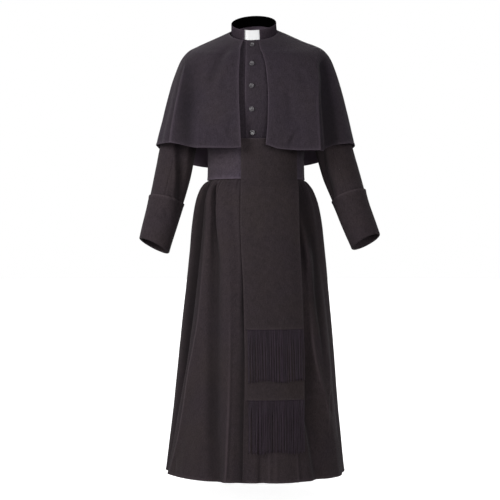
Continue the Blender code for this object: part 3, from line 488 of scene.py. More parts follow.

# The hollows beside the ridges, painted darker as shade. Their depths are how dark that painted shade is.
CAPE_HOLLOWS = {
    "right": fold_rows(((-2, -3.5, -6.1, -8.2), (-0.2, -0.5, -0.8, -0.6), 0.022, 0.022, 2.0)),
    "left": fold_rows(((6, 9, 11, 12), (-0.8, -1.0, -1.0, -1.0), 0.018, 0.014, 2.0)),
}

CAPE_CREASES = crease_rows(
    # the right front: below the shoulder, along the free edge, then at the hem
    (-40, -0.004, -46, -0.190, -0.0060, 0.016, 0.004),
    (-31, -0.020, -38, -0.200, 0.0030, 0.014),
    (-30, -0.030, -24, -0.120, 0.0014, 0.011),
    (-20, -0.175, -15, -0.206, -0.0016, 0.0045),
    (-25, -0.190, -17, -0.215, 0.0012, 0.0050),
    (-21, -0.255, -25, -0.330, -0.0022, 0.0080),
    (-16, -0.230, -18, -0.300, 0.0010, 0.0060),
    (-58, -0.085, -50, -0.290, -0.0018, 0.016),
    (-47, -0.305, -46, -0.352, -0.0014, 0.0040),
    (-44, -0.300, -43, -0.352, 0.0014, 0.0040),
    (-41, -0.290, -41, -0.352, -0.0020, 0.0035),
    (-63, -0.300, -62, -0.352, -0.0014, 0.0050),
    (-36, -0.120, -30, -0.260, 0.0010, 0.018, 0.010),
    # the left front
    (41, -0.150, 40, -0.290, -0.0020, 0.0090, 0.004),
    (50, -0.100, 53, -0.190, -0.0016, 0.0120, -0.006),
    (56, -0.080, 59, -0.250, 0.0012, 0.0150),
    (48, -0.285, 37, -0.350, -0.0032, 0.0050, 0.008),
    (44, -0.300, 34, -0.345, 0.0020, 0.0060, 0.008),
    (24, -0.230, 27, -0.300, 0.0012, 0.0080),
    (31, -0.045, 33, -0.130, 0.0010, 0.0070, 0.004),
    (20, -0.330, 38, -0.340, -0.0008, 0.0080),
    # the sides over the arms, and the back
    (-84, -0.110, -80, -0.300, 0.0016, 0.013),
    (-92, -0.150, -88, -0.330, -0.0018, 0.012),
    (82, -0.120, 86, -0.320, 0.0018, 0.014),
    (74, -0.180, 72, -0.340, -0.0022, 0.012),
    (106, -0.060, 112, -0.200, 0.0015, 0.012),
    (128, -0.050, 140, -0.150, -0.0016, 0.010, 0.006),
    (160, -0.060, 158, -0.190, 0.0012, 0.014),
    (196, -0.070, 200, -0.210, -0.0014, 0.012),
    (232, -0.050, 222, -0.150, -0.0016, 0.010, -0.006),
    (252, -0.070, 248, -0.210, 0.0014, 0.013),
    (146, -0.300, 147, -0.352, -0.0016, 0.005),
    (181, -0.290, 180, -0.352, 0.0016, 0.006),
    (216, -0.300, 217, -0.352, -0.0016, 0.005),
)

BODICE_CREASES = crease_rows(
    (18.5, -0.085, 16.0, -0.225, 0.0010, 0.0030, 0.002),
    (16.0, -0.215, 5.5, -0.322, 0.0013, 0.0030, -0.004),
    (13.0, -0.225, 4.0, -0.315, -0.0009, 0.0050, -0.004),
    (-10.5, -0.060, -9.0, -0.320, -0.0006, 0.0040),
    (10.0, -0.040, 13.0, -0.150, -0.0008, 0.0060),
    (-3.0, -0.330, 12.0, -0.318, 0.0008, 0.0050),
    (2.0, -0.300, 14.0, -0.270, -0.0006, 0.0050),
)

SKIRT_CREASES = crease_rows(
    (63, -1.130, 60, -1.215, 0.0040, 0.0080, 0.006),
    (68, -1.105, 65, -1.190, -0.0030, 0.0070, 0.006),
    (70, -0.980, 63, -1.160, 0.0022, 0.0090),
    (-46, -0.900, -40, -1.250, 0.0016, 0.0200, 0.015),
    (-28, -1.000, -30, -1.320, -0.0016, 0.0160),
    (-13, -0.560, -12, -0.830, 0.0010, 0.0070),
    (-8.5, -0.800, -6.5, -0.900, -0.0020, 0.0060),
    (-36, -1.240, -33, -1.371, -0.0016, 0.0100),
    (-48, -1.230, -50, -1.371, 0.0016, 0.0120),
    (-60, -1.290, -58, -1.371, -0.0020, 0.0070),
    (52, -1.250, 49, -1.371, 0.0018, 0.0100),
    (74, -1.240, 77, -1.371, 0.0020, 0.0100),
    (-24, -0.600, -20, -0.780, -0.0012, 0.0120),
    (120, -0.560, 123, -0.900, 0.0016, 0.0140),
    (150, -0.900, 152, -1.260, -0.0016, 0.0160),
    (176, -0.600, 175, -0.840, 0.0014, 0.0120),
    (204, -0.980, 206, -1.330, 0.0016, 0.0140),
    (230, -0.600, 232, -0.930, -0.0016, 0.0140),
    (246, -1.050, 248, -1.340, 0.0016, 0.0120),
)

BAND_CREASES = crease_rows(
    (-80, -0.366, -22, -0.371, 0.0027, 0.0035, 0.002),
    (-64, -0.380, -16, -0.382, -0.0015, 0.0032, -0.002),
    (-86, -0.399, -30, -0.403, 0.0029, 0.0034, 0.002),
    (-58, -0.413, -14, -0.416, -0.0015, 0.0034),
    (-74, -0.431, -36, -0.434, 0.0025, 0.0040, -0.002),
    (-50, -0.446, -18, -0.441, -0.0013, 0.0036),
    (62, -0.362, 98, -0.368, 0.0027, 0.0036),
    (66, -0.392, 110, -0.396, -0.0015, 0.0036, 0.002),
    (60, -0.424, 92, -0.428, 0.0027, 0.0040),
    (104, -0.372, 168, -0.380, -0.0015, 0.0038, 0.003),
    (120, -0.408, 190, -0.402, 0.0029, 0.0040, -0.003),
    (140, -0.436, 212, -0.440, -0.0014, 0.0040),
    (196, -0.360, 258, -0.366, 0.0027, 0.0038, 0.002),
    (206, -0.388, 262, -0.396, -0.0015, 0.0036),
    (226, -0.420, 274, -0.414, 0.0027, 0.0038, 0.002),
)

# Across the hanging ends a crease's first number is metres from the inner edge and not degrees.
FALL_CREASES = crease_rows(
    (0.060, -0.360, 0.058, -0.560, 0.0007, 0.0120),
    (0.118, -0.420, 0.112, -0.700, -0.0008, 0.0140),
    (0.030, -0.560, 0.034, -0.860, 0.0007, 0.0100),
    (0.150, -0.640, 0.146, -0.900, 0.0008, 0.0100),
    (0.062, -0.880, 0.070, -0.905, 0.0012, 0.0060),
    (0.100, -0.884, 0.104, -0.912, -0.0010, 0.0060),
    (0.132, -0.878, 0.136, -0.908, 0.0011, 0.0060),
    (0.082, -0.740, 0.086, -0.900, -0.0007, 0.0110),
    (0.020, -1.088, 0.090, -1.082, -0.0009, 0.0050),
    (0.086, -1.092, 0.160, -1.087, 0.0009, 0.0050),
)

# Down a sleeve a crease's second number is how far along it is: 1 at the underarm, then metres.
SLEEVE_CREASES = {
    "right": crease_rows(
        (70, 1.00, 124, 1.230, 0.0030, 0.0060),
        (76, 0.96, 172, 1.305, -0.0120, 0.0190),
        (126, 1.02, 150, 1.180, 0.0022, 0.0080),
        (30, 1.175, 62, 1.195, -0.0016, 0.0050, 0.003),
        (22, 1.195, 70, 1.222, 0.0014, 0.0050, 0.003),
        (58, 1.150, 92, 1.130, -0.0012, 0.0060),
        (60, 1.080, 80, 1.150, 0.0012, 0.0100),
        (92, 1.210, 130, 1.245, -0.0018, 0.0045),
        (100, 1.270, 120, 1.300, -0.0018, 0.0080, 0.004),
        (76, 1.270, 96, 1.330, 0.0010, 0.0120),
        (84, 1.352, 128, 1.345, 0.0014, 0.0060, -0.006),
        (212, 1.120, 252, 1.150, -0.0022, 0.0080, 0.004),
        (204, 1.150, 250, 1.185, 0.0020, 0.0080, 0.004),
        (214, 1.200, 246, 1.220, -0.0018, 0.0070),
        (230, 1.020, 262, 1.060, 0.0018, 0.0100),
        (300, 1.060, 330, 1.180, -0.0018, 0.0120),
        (232, 1.290, 280, 1.310, -0.0014, 0.0080),
    ),
    "left": crease_rows(
        (70, 1.020, 135, 1.250, 0.0034, 0.0060),
        (112, 0.920, 168, 1.280, -0.0115, 0.0200),
        (98, 1.150, 120, 1.240, 0.0016, 0.0070),
        (60, 1.060, 84, 1.130, 0.0012, 0.0110),
        (40, 1.170, 88, 1.200, -0.0013, 0.0060, 0.003),
        (30, 1.200, 64, 1.212, 0.0012, 0.0050),
        (110, 1.340, 76, 1.352, 0.0018, 0.0070, -0.006),
        (98, 1.365, 60, 1.368, -0.0014, 0.0060, -0.006),
        (84, 1.260, 92, 1.320, -0.0008, 0.0120),
        (208, 1.110, 250, 1.135, -0.0022, 0.0080, 0.004),
        (204, 1.150, 252, 1.170, 0.0020, 0.0080, 0.004),
        (212, 1.190, 244, 1.215, -0.0018, 0.0070),
        (236, 1.010, 264, 1.050, 0.0018, 0.0100),
        (296, 1.050, 332, 1.170, -0.0018, 0.0120),
        (236, 1.280, 284, 1.306, -0.0014, 0.0080),
    ),
}

# The armhole is an ellipse on the bodice, as tall as from the shoulder tip to the underarm.
ARMHOLE_MIDDLE = -0.165
ARMHOLE_HALF_HEIGHT = 0.110
ARMHOLE_HALF_ANGLE = math.radians(19)

# Each sleeve's middle line from below the underarm to the wrist, with its half width seen from the
# front and its half depth. Across is out from the body's middle plane, forward is to the front.
SLEEVE = "height across forward half_width half_depth"
SLEEVES = {
    "right": Table(
        SLEEVE,
        (-0.290, 0.2280, -0.008, 0.0545, 0.0610),
        (-0.362, 0.2470, -0.010, 0.0570, 0.0585),
        (-0.428, 0.2600, -0.012, 0.0575, 0.0565),
        (-0.491, 0.2735, -0.003, 0.0555, 0.0540),
        (-0.554, 0.2875, 0.012, 0.0525, 0.0510),
        (-0.617, 0.3025, 0.030, 0.0495, 0.0490),
        (-0.664, 0.3130, 0.043, 0.0475, 0.0475),
        (-0.700, 0.3210, 0.053, 0.0470, 0.0470),
    ),
    "left": Table(
        SLEEVE,
        (-0.290, 0.2290, -0.008, 0.0545, 0.0610),
        (-0.362, 0.2475, -0.010, 0.0580, 0.0590),
        (-0.428, 0.2655, -0.012, 0.0585, 0.0570),
        (-0.491, 0.2865, -0.003, 0.0550, 0.0540),
        (-0.554, 0.3090, 0.011, 0.0500, 0.0500),
        (-0.617, 0.3330, 0.029, 0.0475, 0.0480),
        (-0.655, 0.3480, 0.040, 0.0455, 0.0465),
        (-0.700, 0.3670, 0.053, 0.0450, 0.0460),
    ),
}
SLEEVE_SEEDS = {"right": 17.0, "left": 13.0}
SLEEVE_TOP = -0.290
WRISTS = {"right": -0.664, "left": -0.652}
WRIST_SLANTS = {"right": 0.0105, "left": 0.0050}
SHOULDER_SLOPE = math.radians(24)
SLEEVE_CAP_FULLNESS = 0.72
CUFF_HEIGHT = 0.142
CUFF_EASE = 0.0036
FRONT_OVERLAP = 0.020
UNDERLAP_EASE = 0.030

SASH_WIDTH = 0.183
SASH_ENDS = {"upper": -0.9185, "lower": -1.1280}
FRINGE_LENGTH = 0.160
FRINGE_START, FRINGE_END = 0.010, 0.182

COLLAR_GAP = math.radians(19.6)
TAB_REACH = math.radians(26)
TAB_HEIGHTS = (0.0034, 0.0343)

BUTTON_RADIUS = 0.0075
BUTTON_THICKNESS = 0.0036
BUTTON_HEIGHTS = (-0.0466, -0.1090, -0.1790, -0.2496, -0.3198)
HOLE_ACROSS = (0.0040, 0.0125)  # from the middle line
CHEST_DEPTH = 0.120  # about, where the buttonholes are

DOWNWARD_STRETCH = 0.45  # cloth's random unevenness is longer downwards
MOTTLES = ((14, 1.0, 0.0), (42, 0.35, 7.0))  # its lumps a metre, their share and their seed's shift
UNDERLAP_START = 0.004  # how far past the upper front's edge the lower one has sunk
LEAST_HIGHLIGHT = 0.05  # a painted crest highlight weaker than this doesn't show
SEAM_HIGHLIGHT_START = (-0.060, -0.240)  # from here to here the painted highlight along the cape's seam ridges fades in
CAPE_SIDES = {"right": -1, "left": 1}
CAPE_HOLLOW_DEPTH = 0.3 * HOLLOW
# How far a free edge's paler band reaches, partly rubbed by use and partly a painted highlight.
EDGE_WEAR_AND_HIGHLIGHT_WIDTH = 0.004
ROW_STEP = 1.6  # rows are this much farther apart than columns
FINE_ROWS, FEW_COLUMNS, FINE_COLUMNS = 300, 7, 241  # how finely a piece is measured
CREASE_FADE = 0.3  # how much of its length a crease takes to fade in at each end
ROW_GAP = 0.0009  # no closer than this to a row that is kept
RIM_ROUNDING = 0.42  # of the cloth's thickness
STITCH_INSET = 0.0075  # from a stitched edge to its stitches
STITCH_RISE = (0.0105, 0.0065)  # how far from a stitched edge the cloth begins to rise, and has risen
FRONT_INSET = 0.003  # from a front's edge to its stitches
HEM_INSET = 0.0035  # from the sash's or collar's edge to its stitches
STITCH_END = 0.004  # from a row's last stitch to the end of the piece
SEAM_DIP, SEAM_WIDTH = 0.0010, 0.0026
SEAM_LAP = 0.0006  # radians each way, so that no light comes through the centre-back seam
TURN_RISE, TURN_WIDTH = 0.0006, 0.010
GROOVE_DEPTH, GROOVE_WIDTH = 0.0006, 0.0014
HOLLOW_SHADE = 0.62  # how much darker the painted shade makes cloth in a full hollow


def soft_step(low: float, high: float, value: Array) -> Array:
    """Eases from 0 at low to 1 at high, which may be the lesser."""
    t = np.clip((value - low) / (high - low), 0, 1)
    return t * t * (3 - 2 * t)


def turned(degrees: Array) -> Array:
    """The same bearing between -180 and 180."""
    return (degrees + 180) % 360 - 180


def unit(vectors: Array) -> Array:
    """The same directions, each of length 1."""
    return vectors / np.linalg.norm(vectors, axis=-1, keepdims=True)


def slopes(surface: Callable[..., Array], first: Array, second: Array) -> tuple[Array, Array]:
    """How a surface runs with its first parameter and with its second."""
    across = surface(first + NUDGE, second) - surface(first - NUDGE, second)
    return across, surface(first, second + NUDGE) - surface(first, second - NUDGE)


def measured(points: Array, axis: int) -> Array:
    """How far along its own line each point is, where the lines run along an axis of the array."""
    steps = np.linalg.norm(np.diff(points, axis=axis), axis=-1)
    start = np.zeros_like(np.take(steps, [0], axis))
    return np.concatenate([start, np.cumsum(steps, axis=axis)], axis=axis)


def fold_depth(
    folds: Sequence[Fold], stations: Sequence[float], bearing: Array, height: Array, girth: Array
) -> Array:
    """Adds up folds.

    Args:
        folds: The folds.
        stations: The folds' four heights, from the highest.
        bearing: Bearings in radians.
        height: Heights, of the same shape.
        girth: The ring's mean radius there.

    Returns:
        How far the folds move the cloth out.
    """
    total = np.zeros(np.broadcast(bearing, height).shape)
    for fold in folds:
        centre = np.interp(height, stations[::-1], fold.bearings[::-1])
        depth = np.interp(height, stations[::-1], fold.depths[::-1])
        away = np.radians(turned(np.degrees(bearing) - centre)) * girth
        width = np.where(away < 0, fold.before, fold.after)
        total = total + depth * np.exp(-(np.abs(away / width) ** fold.crest))
    return total


def crease_depth(
    creases: Sequence[Crease], across: Array, up: Array, metres: Array | float
) -> Array:
    """Adds up creases.

    Args:
        creases: The creases.
        across: The places' first coordinate, in the creases' own unit.
        up: Their second one, in metres.
        metres: How many metres one unit of the first is.

    Returns:
        How far the creases raise the cloth, below 0 in a trough.
    """
    total = np.zeros(up.shape)
    for crease in creases:
        wide = (crease.last_bearing - crease.bearing) * metres
        tall = crease.last_height - crease.height
        away, above = turned(across - crease.bearing) * metres, up - crease.height
        length = np.hypot(wide, tall)
        t = (away * wide + above * tall) / length**2
        inside = np.clip(t, 0, 1)
        side = (away * tall - above * wide) / length - crease.bow * 4 * inside * (1 - inside)
        past = (t - inside) * length
        fade = soft_step(0.0, CREASE_FADE, t) * soft_step(1.0, 1 - CREASE_FADE, t)
        near = (side / crease.width) ** 2 + (past / crease.width) ** 2
        total += crease.depth * fade * np.exp(-near)
    return total


def mottle(points: Array, scale: float, seed: float) -> Array:
    """Soft random unevenness, from about -1 to 1.

    Args:
        points: Places in the garment's frame.
        scale: Lumps per metre.
        seed: Shifts the pattern, so that pieces differ.

    Returns:
        A value for each place.
    """
    flat = points.reshape(-1, 3) * (scale, scale, scale * DOWNWARD_STRETCH) + seed
    return np.array([noise.noise(Vector(p)) for p in flat]).reshape(points.shape[:-1])


def ring_points(ring: SimpleNamespace, bearing: Array, swell: Array | float) -> Array:
    """Points of a ring round the body.

    Args:
        ring: The ring's row.
        bearing: Bearings in radians.
        swell: How far the points move out.

    Returns:
        The points.
    """
    across, ahead = np.sin(bearing), np.cos(bearing)
    depth = np.where(ahead > 0, ring.front, ring.back)
    reach = np.abs(across / ring.side) ** ring.square + np.abs(ahead / depth) ** ring.square
    reach = reach ** (-1 / ring.square) + swell
    y = -reach * ahead
    return np.stack([ring.shift + reach * across, y, ring.height + ring.lean * y], axis=-1)


@dataclass
class Form:
    """What cloth lies on: a surface of two parameters, with the fine relief of its creases.

    Attributes:
        seed: Shifts the random unevenness.
        unevenness: How deep that is, in metres.
        outward: 1 where the cross product of the two slopes points out, else -1.
    """

    seed: float = 0.0
    unevenness: float = 0.0
    outward: int = 1

    def base(self, first: Array, second: Array) -> Array:
        """The plain surface, as the solids have it."""
        raise NotImplementedError

    def relief(self, first: Array, second: Array) -> Array:
        """How far creases raise the cloth off the plain surface."""
        return np.zeros(np.broadcast(first, second).shape)

    def painted_light_and_wear(self, first: Array, second: Array) -> Array:
        """Painted light: up to 1 a painted highlight on crests, down to -1 painted shade in hollows; here
        the shade of troughs.
        """
        return -np.clip(-self.relief(first, second) / HOLLOW, 0, 1)

    def normals(self, first: Array, second: Array) -> Array:
        """Unit normals that point away from the wearer."""
        return unit(np.cross(*slopes(self.base, first, second)) * self.outward)

    def place(self, first: Array, second: Array, lift: Array | float = 0.0) -> Array:
        """Places points on the creased cloth.

        Args:
            first: The first parameter.
            second: The second parameter, of the same shape.
            lift: How far above the cloth they are.

        Returns:
            The points.
        """
        plain = self.base(first, second)
        raised = self.relief(first, second) + lift
        for scale, share, shift in MOTTLES:
            raised = raised + self.unevenness * share * mottle(plain, scale, self.seed + shift)
        return plain + self.normals(first, second) * raised[..., None]


@dataclass
class RingForm(Form):
    """Cloth round the body. Its parameters are a bearing in radians and a height.

    Attributes:
        rings: The rings.
        folds: The folds that the solids have too.
        pleats: Narrow ones that follow their own tables.
        stations: The folds' four heights.
        fold_start: From where to where the folds open out.
        creases: The creases.
        tuck: How deep this piece sinks near the middle, to lie under the other front.
    """

    rings: Table = BODICE
    folds: Sequence[Fold] = ()
    pleats: Sequence[Table] = ()
    stations: Sequence[float] = SKIRT_STATIONS
    fold_start: tuple[float, float] = SKIRT_FOLD_START
    creases: Sequence[Crease] = ()
    tuck: float = 0.0

    def girth(self, height: Array) -> Array:
        """The ring's mean radius at each height."""
        ring = self.rings.at(height)
        return (ring.side + ring.front) / 2

    def swell(self, bearing: Array, height: Array) -> Array:
        """How far the folds move the plain surface out."""
        folds = fold_depth(self.folds, self.stations, bearing, height, self.girth(height))
        return folds * soft_step(*self.fold_start, height)

    def untucked(self, bearing: Array, height: Array) -> Array:
        """The plain surface before it sinks under the other front."""
        return ring_points(self.rings.at(height), bearing, self.swell(bearing, height))

    def base(self, first: Array, second: Array) -> Array:
        """The plain surface, as the solids have it."""
        points = self.untucked(first, second)
        if self.tuck:
            edge = -FRONT_OVERLAP - UNDERLAP_START
            depth = self.tuck * soft_step(edge - UNDERLAP_EASE, edge, points[..., 0])
            out = unit(np.cross(*slopes(self.untucked, first, second)))
            points = points - out * depth[..., None]
        return points

    def pleated(self, bearing: Array, height: Array) -> tuple[Array, Array]:
        """Adds up the pleats.

        Args:
            bearing: Bearings in radians.
            height: Heights, of the same shape.

        Returns:
            How far the pleats raise the cloth, and their painted highlight or painted shade along them.
        """
        raised = painted_light_and_wear = np.zeros(np.broadcast(bearing, height).shape)
        for pleat in self.pleats:
            row = pleat.at(np.clip(height, pleat.keys[0], pleat.keys[-1]))
            away = np.radians(turned(np.degrees(bearing) - row.bearing)) * self.girth(height)
            width = np.where(away < 0, row.before, row.after)
            raised = raised + row.depth * np.exp(-((away / width) ** 2))
            narrow = np.where(row.shine > 0, CREST_HIGHLIGHT_WIDTH, width)
            painted_light_and_wear = painted_light_and_wear + row.shine * np.exp(-((away / narrow) ** 2))
        return raised * soft_step(*PLEAT_START, height), painted_light_and_wear

    def painted_light_and_wear(self, first: Array, second: Array) -> Array:
        """The painted highlight along the pleats' crests, else the painted shade of the cloth's hollows."""
        along = self.pleated(first, second)[1]
        hollow = np.maximum(super().painted_light_and_wear(first, second) + along, -1)
        return np.where(along > LEAST_HIGHLIGHT, along, hollow)

    def relief(self, first: Array, second: Array) -> Array:
        """How far creases and pleats raise the cloth."""
        metres = np.radians(1) * self.girth(second)
        creased = crease_depth(self.creases, np.degrees(first), second, metres)
        return creased + self.pleated(first, second)[0]


def cape_seam(side: str, height: Array) -> Array:
    """A shoulder seam's bearing, counted from the front towards its own side."""
    return SIDE - np.radians(getattr(CAPE_SEAMS.at(height), side))


@dataclass
class CapeForm(RingForm):
    """The shoulder cape, with its seam ridges and its uneven hem."""

    rings: Table = CAPE
    folds: Sequence[Fold] = CAPE_FOLDS
    stations: Sequence[float] = CAPE_STATIONS
    fold_start: tuple[float, float] = CAPE_FOLD_START
    creases: Sequence[Crease] = CAPE_CREASES

    def beside_seams(self, folds: dict[str, Sequence[Fold]], bearing: Array, height: Array) -> Array:
        """Adds up the folds that follow the shoulder seams.

        Args:
            folds: The folds of each side, in degrees behind its seam.
            bearing: Bearings in radians.
            height: Heights.

        Returns:
            How far they move the cape out.
        """
        total = np.zeros(np.broadcast(bearing, height).shape)
        for side, sign in CAPE_SIDES.items():
            behind = bearing * sign - cape_seam(side, height)
            total += fold_depth(folds[side], self.stations, behind, height, self.girth(height))
        return total * soft_step(*self.fold_start, height)

    def swell(self, bearing: Array, height: Array) -> Array:
        """How far the folds move the plain surface out."""
        return super().swell(bearing, height) + self.beside_seams(CAPE_SEAM_FOLDS, bearing, height)

    def base(self, first: Array, second: Array) -> Array:
        """The plain surface, with the hem's drop."""
        points = super().base(first, second)
        drop = CAPE_DROP.at(turned(np.degrees(first))).drop
        points[..., 2] -= self.rings.at(second).drop * drop
        return points

    def painted_light_and_wear(self, first: Array, second: Array) -> Array:
        """Painted light on the cape: a painted highlight along the seams' ridges, stronger lower down, else
        painted shade in its hollows.
        """
        left = np.abs(turned(np.degrees(first - cape_seam("left", second))))
        right = np.abs(turned(np.degrees(first + cape_seam("right", second))))
        away = np.radians(np.minimum(left, right)) * self.girth(second)
        # A painted highlight along each seam's ridge.
        crests = SEAM_HIGHLIGHT * np.exp(-((away / CREST_HIGHLIGHT_WIDTH) ** 2))
        crests = crests * soft_step(*SEAM_HIGHLIGHT_START, second)
        # Painted shade in the troughs and beside the seams' ridges.
        hollow = super().painted_light_and_wear(first, second) + self.beside_seams(CAPE_HOLLOWS, first, second)
        return np.where(crests > LEAST_HIGHLIGHT, crests, np.maximum(hollow, -1))

    def relief(self, first: Array, second: Array) -> Array:
        """How far creases and the seams' pressed edges raise the cloth."""
        edges = dict.fromkeys(CAPE_SIDES, CAPE_SEAM_EDGES)
        deeper = self.beside_seams(CAPE_HOLLOWS, first, second) * CAPE_HOLLOW_DEPTH
        return super().relief(first, second) + self.beside_seams(edges, first, second) + deeper


@dataclass
class FallForm(Form):
    """A hanging sash end. Its parameters are the distance from its inner edge, and a height."""

    layer: int = 1
    lift: float = CLOTH

    def base(self, first: Array, second: Array) -> Array:
        """The plain surface, worked out along each height's ring."""
        first, second = np.broadcast_arrays(first, second)
        bearings = np.radians(np.arange(-25, 95, 0.5))
        heights, rows = np.unique(second.ravel(), return_inverse=True)
        distance, points = first.ravel(), np.empty((first.size, 3))
        for number, height in enumerate(heights):
            here = rows == number
            ring = SASH_BED.at(height)
            run = ring_points(ring, bearings, self.layer * LAYER)
            length = measured(run, 0)
            start = np.interp(SASH_EDGE.at(height).across, run[:, 0], length)
            bearing = np.interp(start + distance[here], length, bearings)
            points[here] = ring_points(ring, bearing, self.layer * LAYER + self.lift)
        return points.reshape(*first.shape, 3)

    def relief(self, first: Array, second: Array) -> Array:
        """How far creases raise the cloth."""
        return crease_depth(FALL_CREASES, first, second, 1.0)


@dataclass
class SleeveForm(Form):
    """A sleeve. Around is 0 on the outside, 90 degrees in front and 180 inside. Along is 0 at the
    armhole, 1 at the underarm ring and then 1 and the distance below it."""

    side: str = "right"

    def __post_init__(self) -> None:
        """Settles which way is out, and how far down the wrist is."""
        self.outward = -1 if self.side == "right" else 1
        self.table = SLEEVES[self.side]
        self.wrist = 1 + SLEEVE_TOP - WRISTS[self.side]

    def arm_ring(self, around: Array, height: Array) -> tuple[Array, Array]:
        """A ring of the arm.

        Args:
            around: Where round the arm, in radians.
            height: How high the ring's middle is.

        Returns:
            The points, and the arm's direction there.
        """
        here, lower = self.table.at(height), self.table.at(height - NUDGE)
        middle = np.stack([here.across, -here.forward, here.height], axis=-1)
        run = unit(np.stack([lower.across, -lower.forward, lower.height], axis=-1) - middle)
        outward = unit(np.array([1.0, 0.0, 0.0]) - run[..., :1] * run)
        forward = np.cross(outward, run)
        forward = forward * np.where(forward[..., 1:2] > 0, -1, 1)
        points = middle + outward * (here.half_width * np.cos(around))[..., None]
        return points + forward * (here.half_depth * np.sin(around))[..., None], run

    def base(self, around: Array, along: Array) -> Array:
        """The sleeve's own surface, from the armhole over its cap to the wrist."""
        around, along = np.broadcast_arrays(around, along)
        slant = soft_step(self.wrist - CUFF_HEIGHT, self.wrist, along) * WRIST_SLANTS[self.side]
        along = along - slant * np.cos(around)
        height = ARMHOLE_MIDDLE + ARMHOLE_HALF_HEIGHT * np.cos(around)
        start = ring_points(BODICE.at(height), SIDE - ARMHOLE_HALF_ANGLE * np.sin(around), 0.0)
        end, run = self.arm_ring(around, np.full(around.shape, SLEEVE_TOP))
        level = ((1 + np.cos(around)) / 2)[..., None]
        shoulder = np.array([math.cos(SHOULDER_SLOPE), 0.0, -math.sin(SHOULDER_SLOPE)])
        leave = unit(shoulder * level + run * (1 - level))
        start = start + leave * GAP
        chord = np.linalg.norm(end - start, axis=-1, keepdims=True) * SLEEVE_CAP_FULLNESS
        cap = hermite(np.clip(along, 0, 1)[..., None], start, leave * chord, end, run * chord)
        arm, _ = self.arm_ring(around, SLEEVE_TOP - np.maximum(along - 1, 0))
        points = np.where(along[..., None] < 1, cap, arm)
        return points * [self.outward, 1, 1]

    def relief(self, first: Array, second: Array) -> Array:
        """How far creases raise the cloth."""
        arm = self.table.at(SLEEVE_TOP - np.maximum(second - 1, 0)).half_width
        creases = SLEEVE_CREASES[self.side]
        return crease_depth(creases, np.degrees(first), second, np.radians(1) * arm)


@dataclass
class CuffForm(SleeveForm):
    """A turned-back cuff. Past the wrist it rolls round the sleeve's end and runs up inside.

    Attributes:
        ease: How far outside the sleeve's face the cuff lies.
        inner: How far inside it the turned-in cloth lies.
        facing: How far up inside that runs.
        fade: How far past the wrist the creases fade out.
    """

    ease: float = CUFF_EASE
    inner: float = 0.0033
    facing: float = 0.020
    fade: float = 0.004

    def __post_init__(self) -> None:
        """Works out the roll's radius."""
        super().__post_init__()
        self.roll = (self.ease + self.inner) / 2

    def base(self, first: Array, second: Array) -> Array:
        """The cuff outside, round its lower edge, and inside the sleeve."""
        first, second = np.broadcast_arrays(first, second)
        past = second - self.wrist
        turn = np.clip(past / self.roll, 0, math.pi)
        along = np.minimum(second, self.wrist) - np.maximum(past - self.roll * math.pi, 0)
        across, down = slopes(super().base, first, along)
        out = unit(np.cross(across, down) * self.outward)
        away = (self.ease - self.inner) / 2 + self.roll * np.cos(turn)
        points = super().base(first, along) + out * away[..., None]
        return points + unit(down) * (self.roll * np.sin(turn))[..., None]

    def relief(self, first: Array, second: Array) -> Array:
        """How far creases raise the cuff, fading out round its lower edge."""
        return super().relief(first, second) * soft_step(self.wrist + self.fade, self.wrist, second)


@dataclass
class CollarForm(RingForm):
    """The collar's rings, a little fuller half way up.

    Attributes:
        crown: How much fuller.
        offset: How far the cloth lies outside the rings.
    """

    rings: Table = COLLAR
    crown: float = 0.0
    offset: float = 0.0

    def swell(self, bearing: Array, height: Array) -> Array:
        """How far the collar stands out from its rings."""
        low, high = COLLAR.keys[0], COLLAR.keys[-1]
        share = (height - low) / (high - low)
        return self.offset + self.crown * 4 * share * (1 - share) + 0 * bearing


class Edge(Enum):
    """How an edge of a piece is finished."""

    CUT = "cut"
    SEAM = "seam"
    TURNED = "turned"
    STITCHED = "stitched"


EDGE_SPACING = {  # how far from the edge its close mesh lines are
    Edge.CUT: (0.0,),
    Edge.SEAM: (0.0, 0.0014, 0.0030, 0.0050),
    Edge.TURNED: (0.0, 0.0020, 0.0050, 0.0090),
    Edge.STITCHED: (0.0, 0.0022, 0.0046, 0.0062, STITCH_INSET, 0.0088, 0.0106),
}


def edge_relief(edge: Edge, distance: Array) -> Array:
    """The relief of a finished edge.

    Args:
        edge: How the edge is finished.
        distance: How far each place is from it.

    Returns:
        How far the cloth is raised there, below 0 in a seam's dip or a stitched groove.
    """
    if edge is Edge.SEAM:
        return -SEAM_DIP * np.exp(-((distance / SEAM_WIDTH) ** 2))
    if edge is Edge.TURNED:
        return TURN_RISE * soft_step(TURN_WIDTH, TURN_WIDTH / 3, distance)
    if edge is Edge.STITCHED:
        rise = TURN_RISE * soft_step(*STITCH_RISE, distance)
        return rise - GROOVE_DEPTH * np.exp(-(((distance - STITCH_INSET) / GROOVE_WIDTH) ** 2))
    return np.zeros(np.shape(distance))


def spaced(across: Array, step: float, first: Edge, last: Edge) -> Array:
    """Lays out lines across a piece, close together near its finished edges.

    Args:
        across: How wide the piece is, at each place along it.
        step: How far apart the lines in the middle are at most.
        first: The edge at the start.
        last: The edge at the end.

    Returns:
        The lines' distances from the start, one row for each width.
    """
    head, tail = np.array(EDGE_SPACING[first]), np.array(EDGE_SPACING[last])
    count = max(2, math.ceil((across.max() - head[-1] - tail[-1]) / step))
    across = across[:, None]
    middle = head[-1] + np.linspace(0, 1, count + 1)[1:-1] * (across - head[-1] - tail[-1])
    return np.concatenate([np.repeat(head[None], len(across), 0), middle, across - tail[::-1]], axis=1)


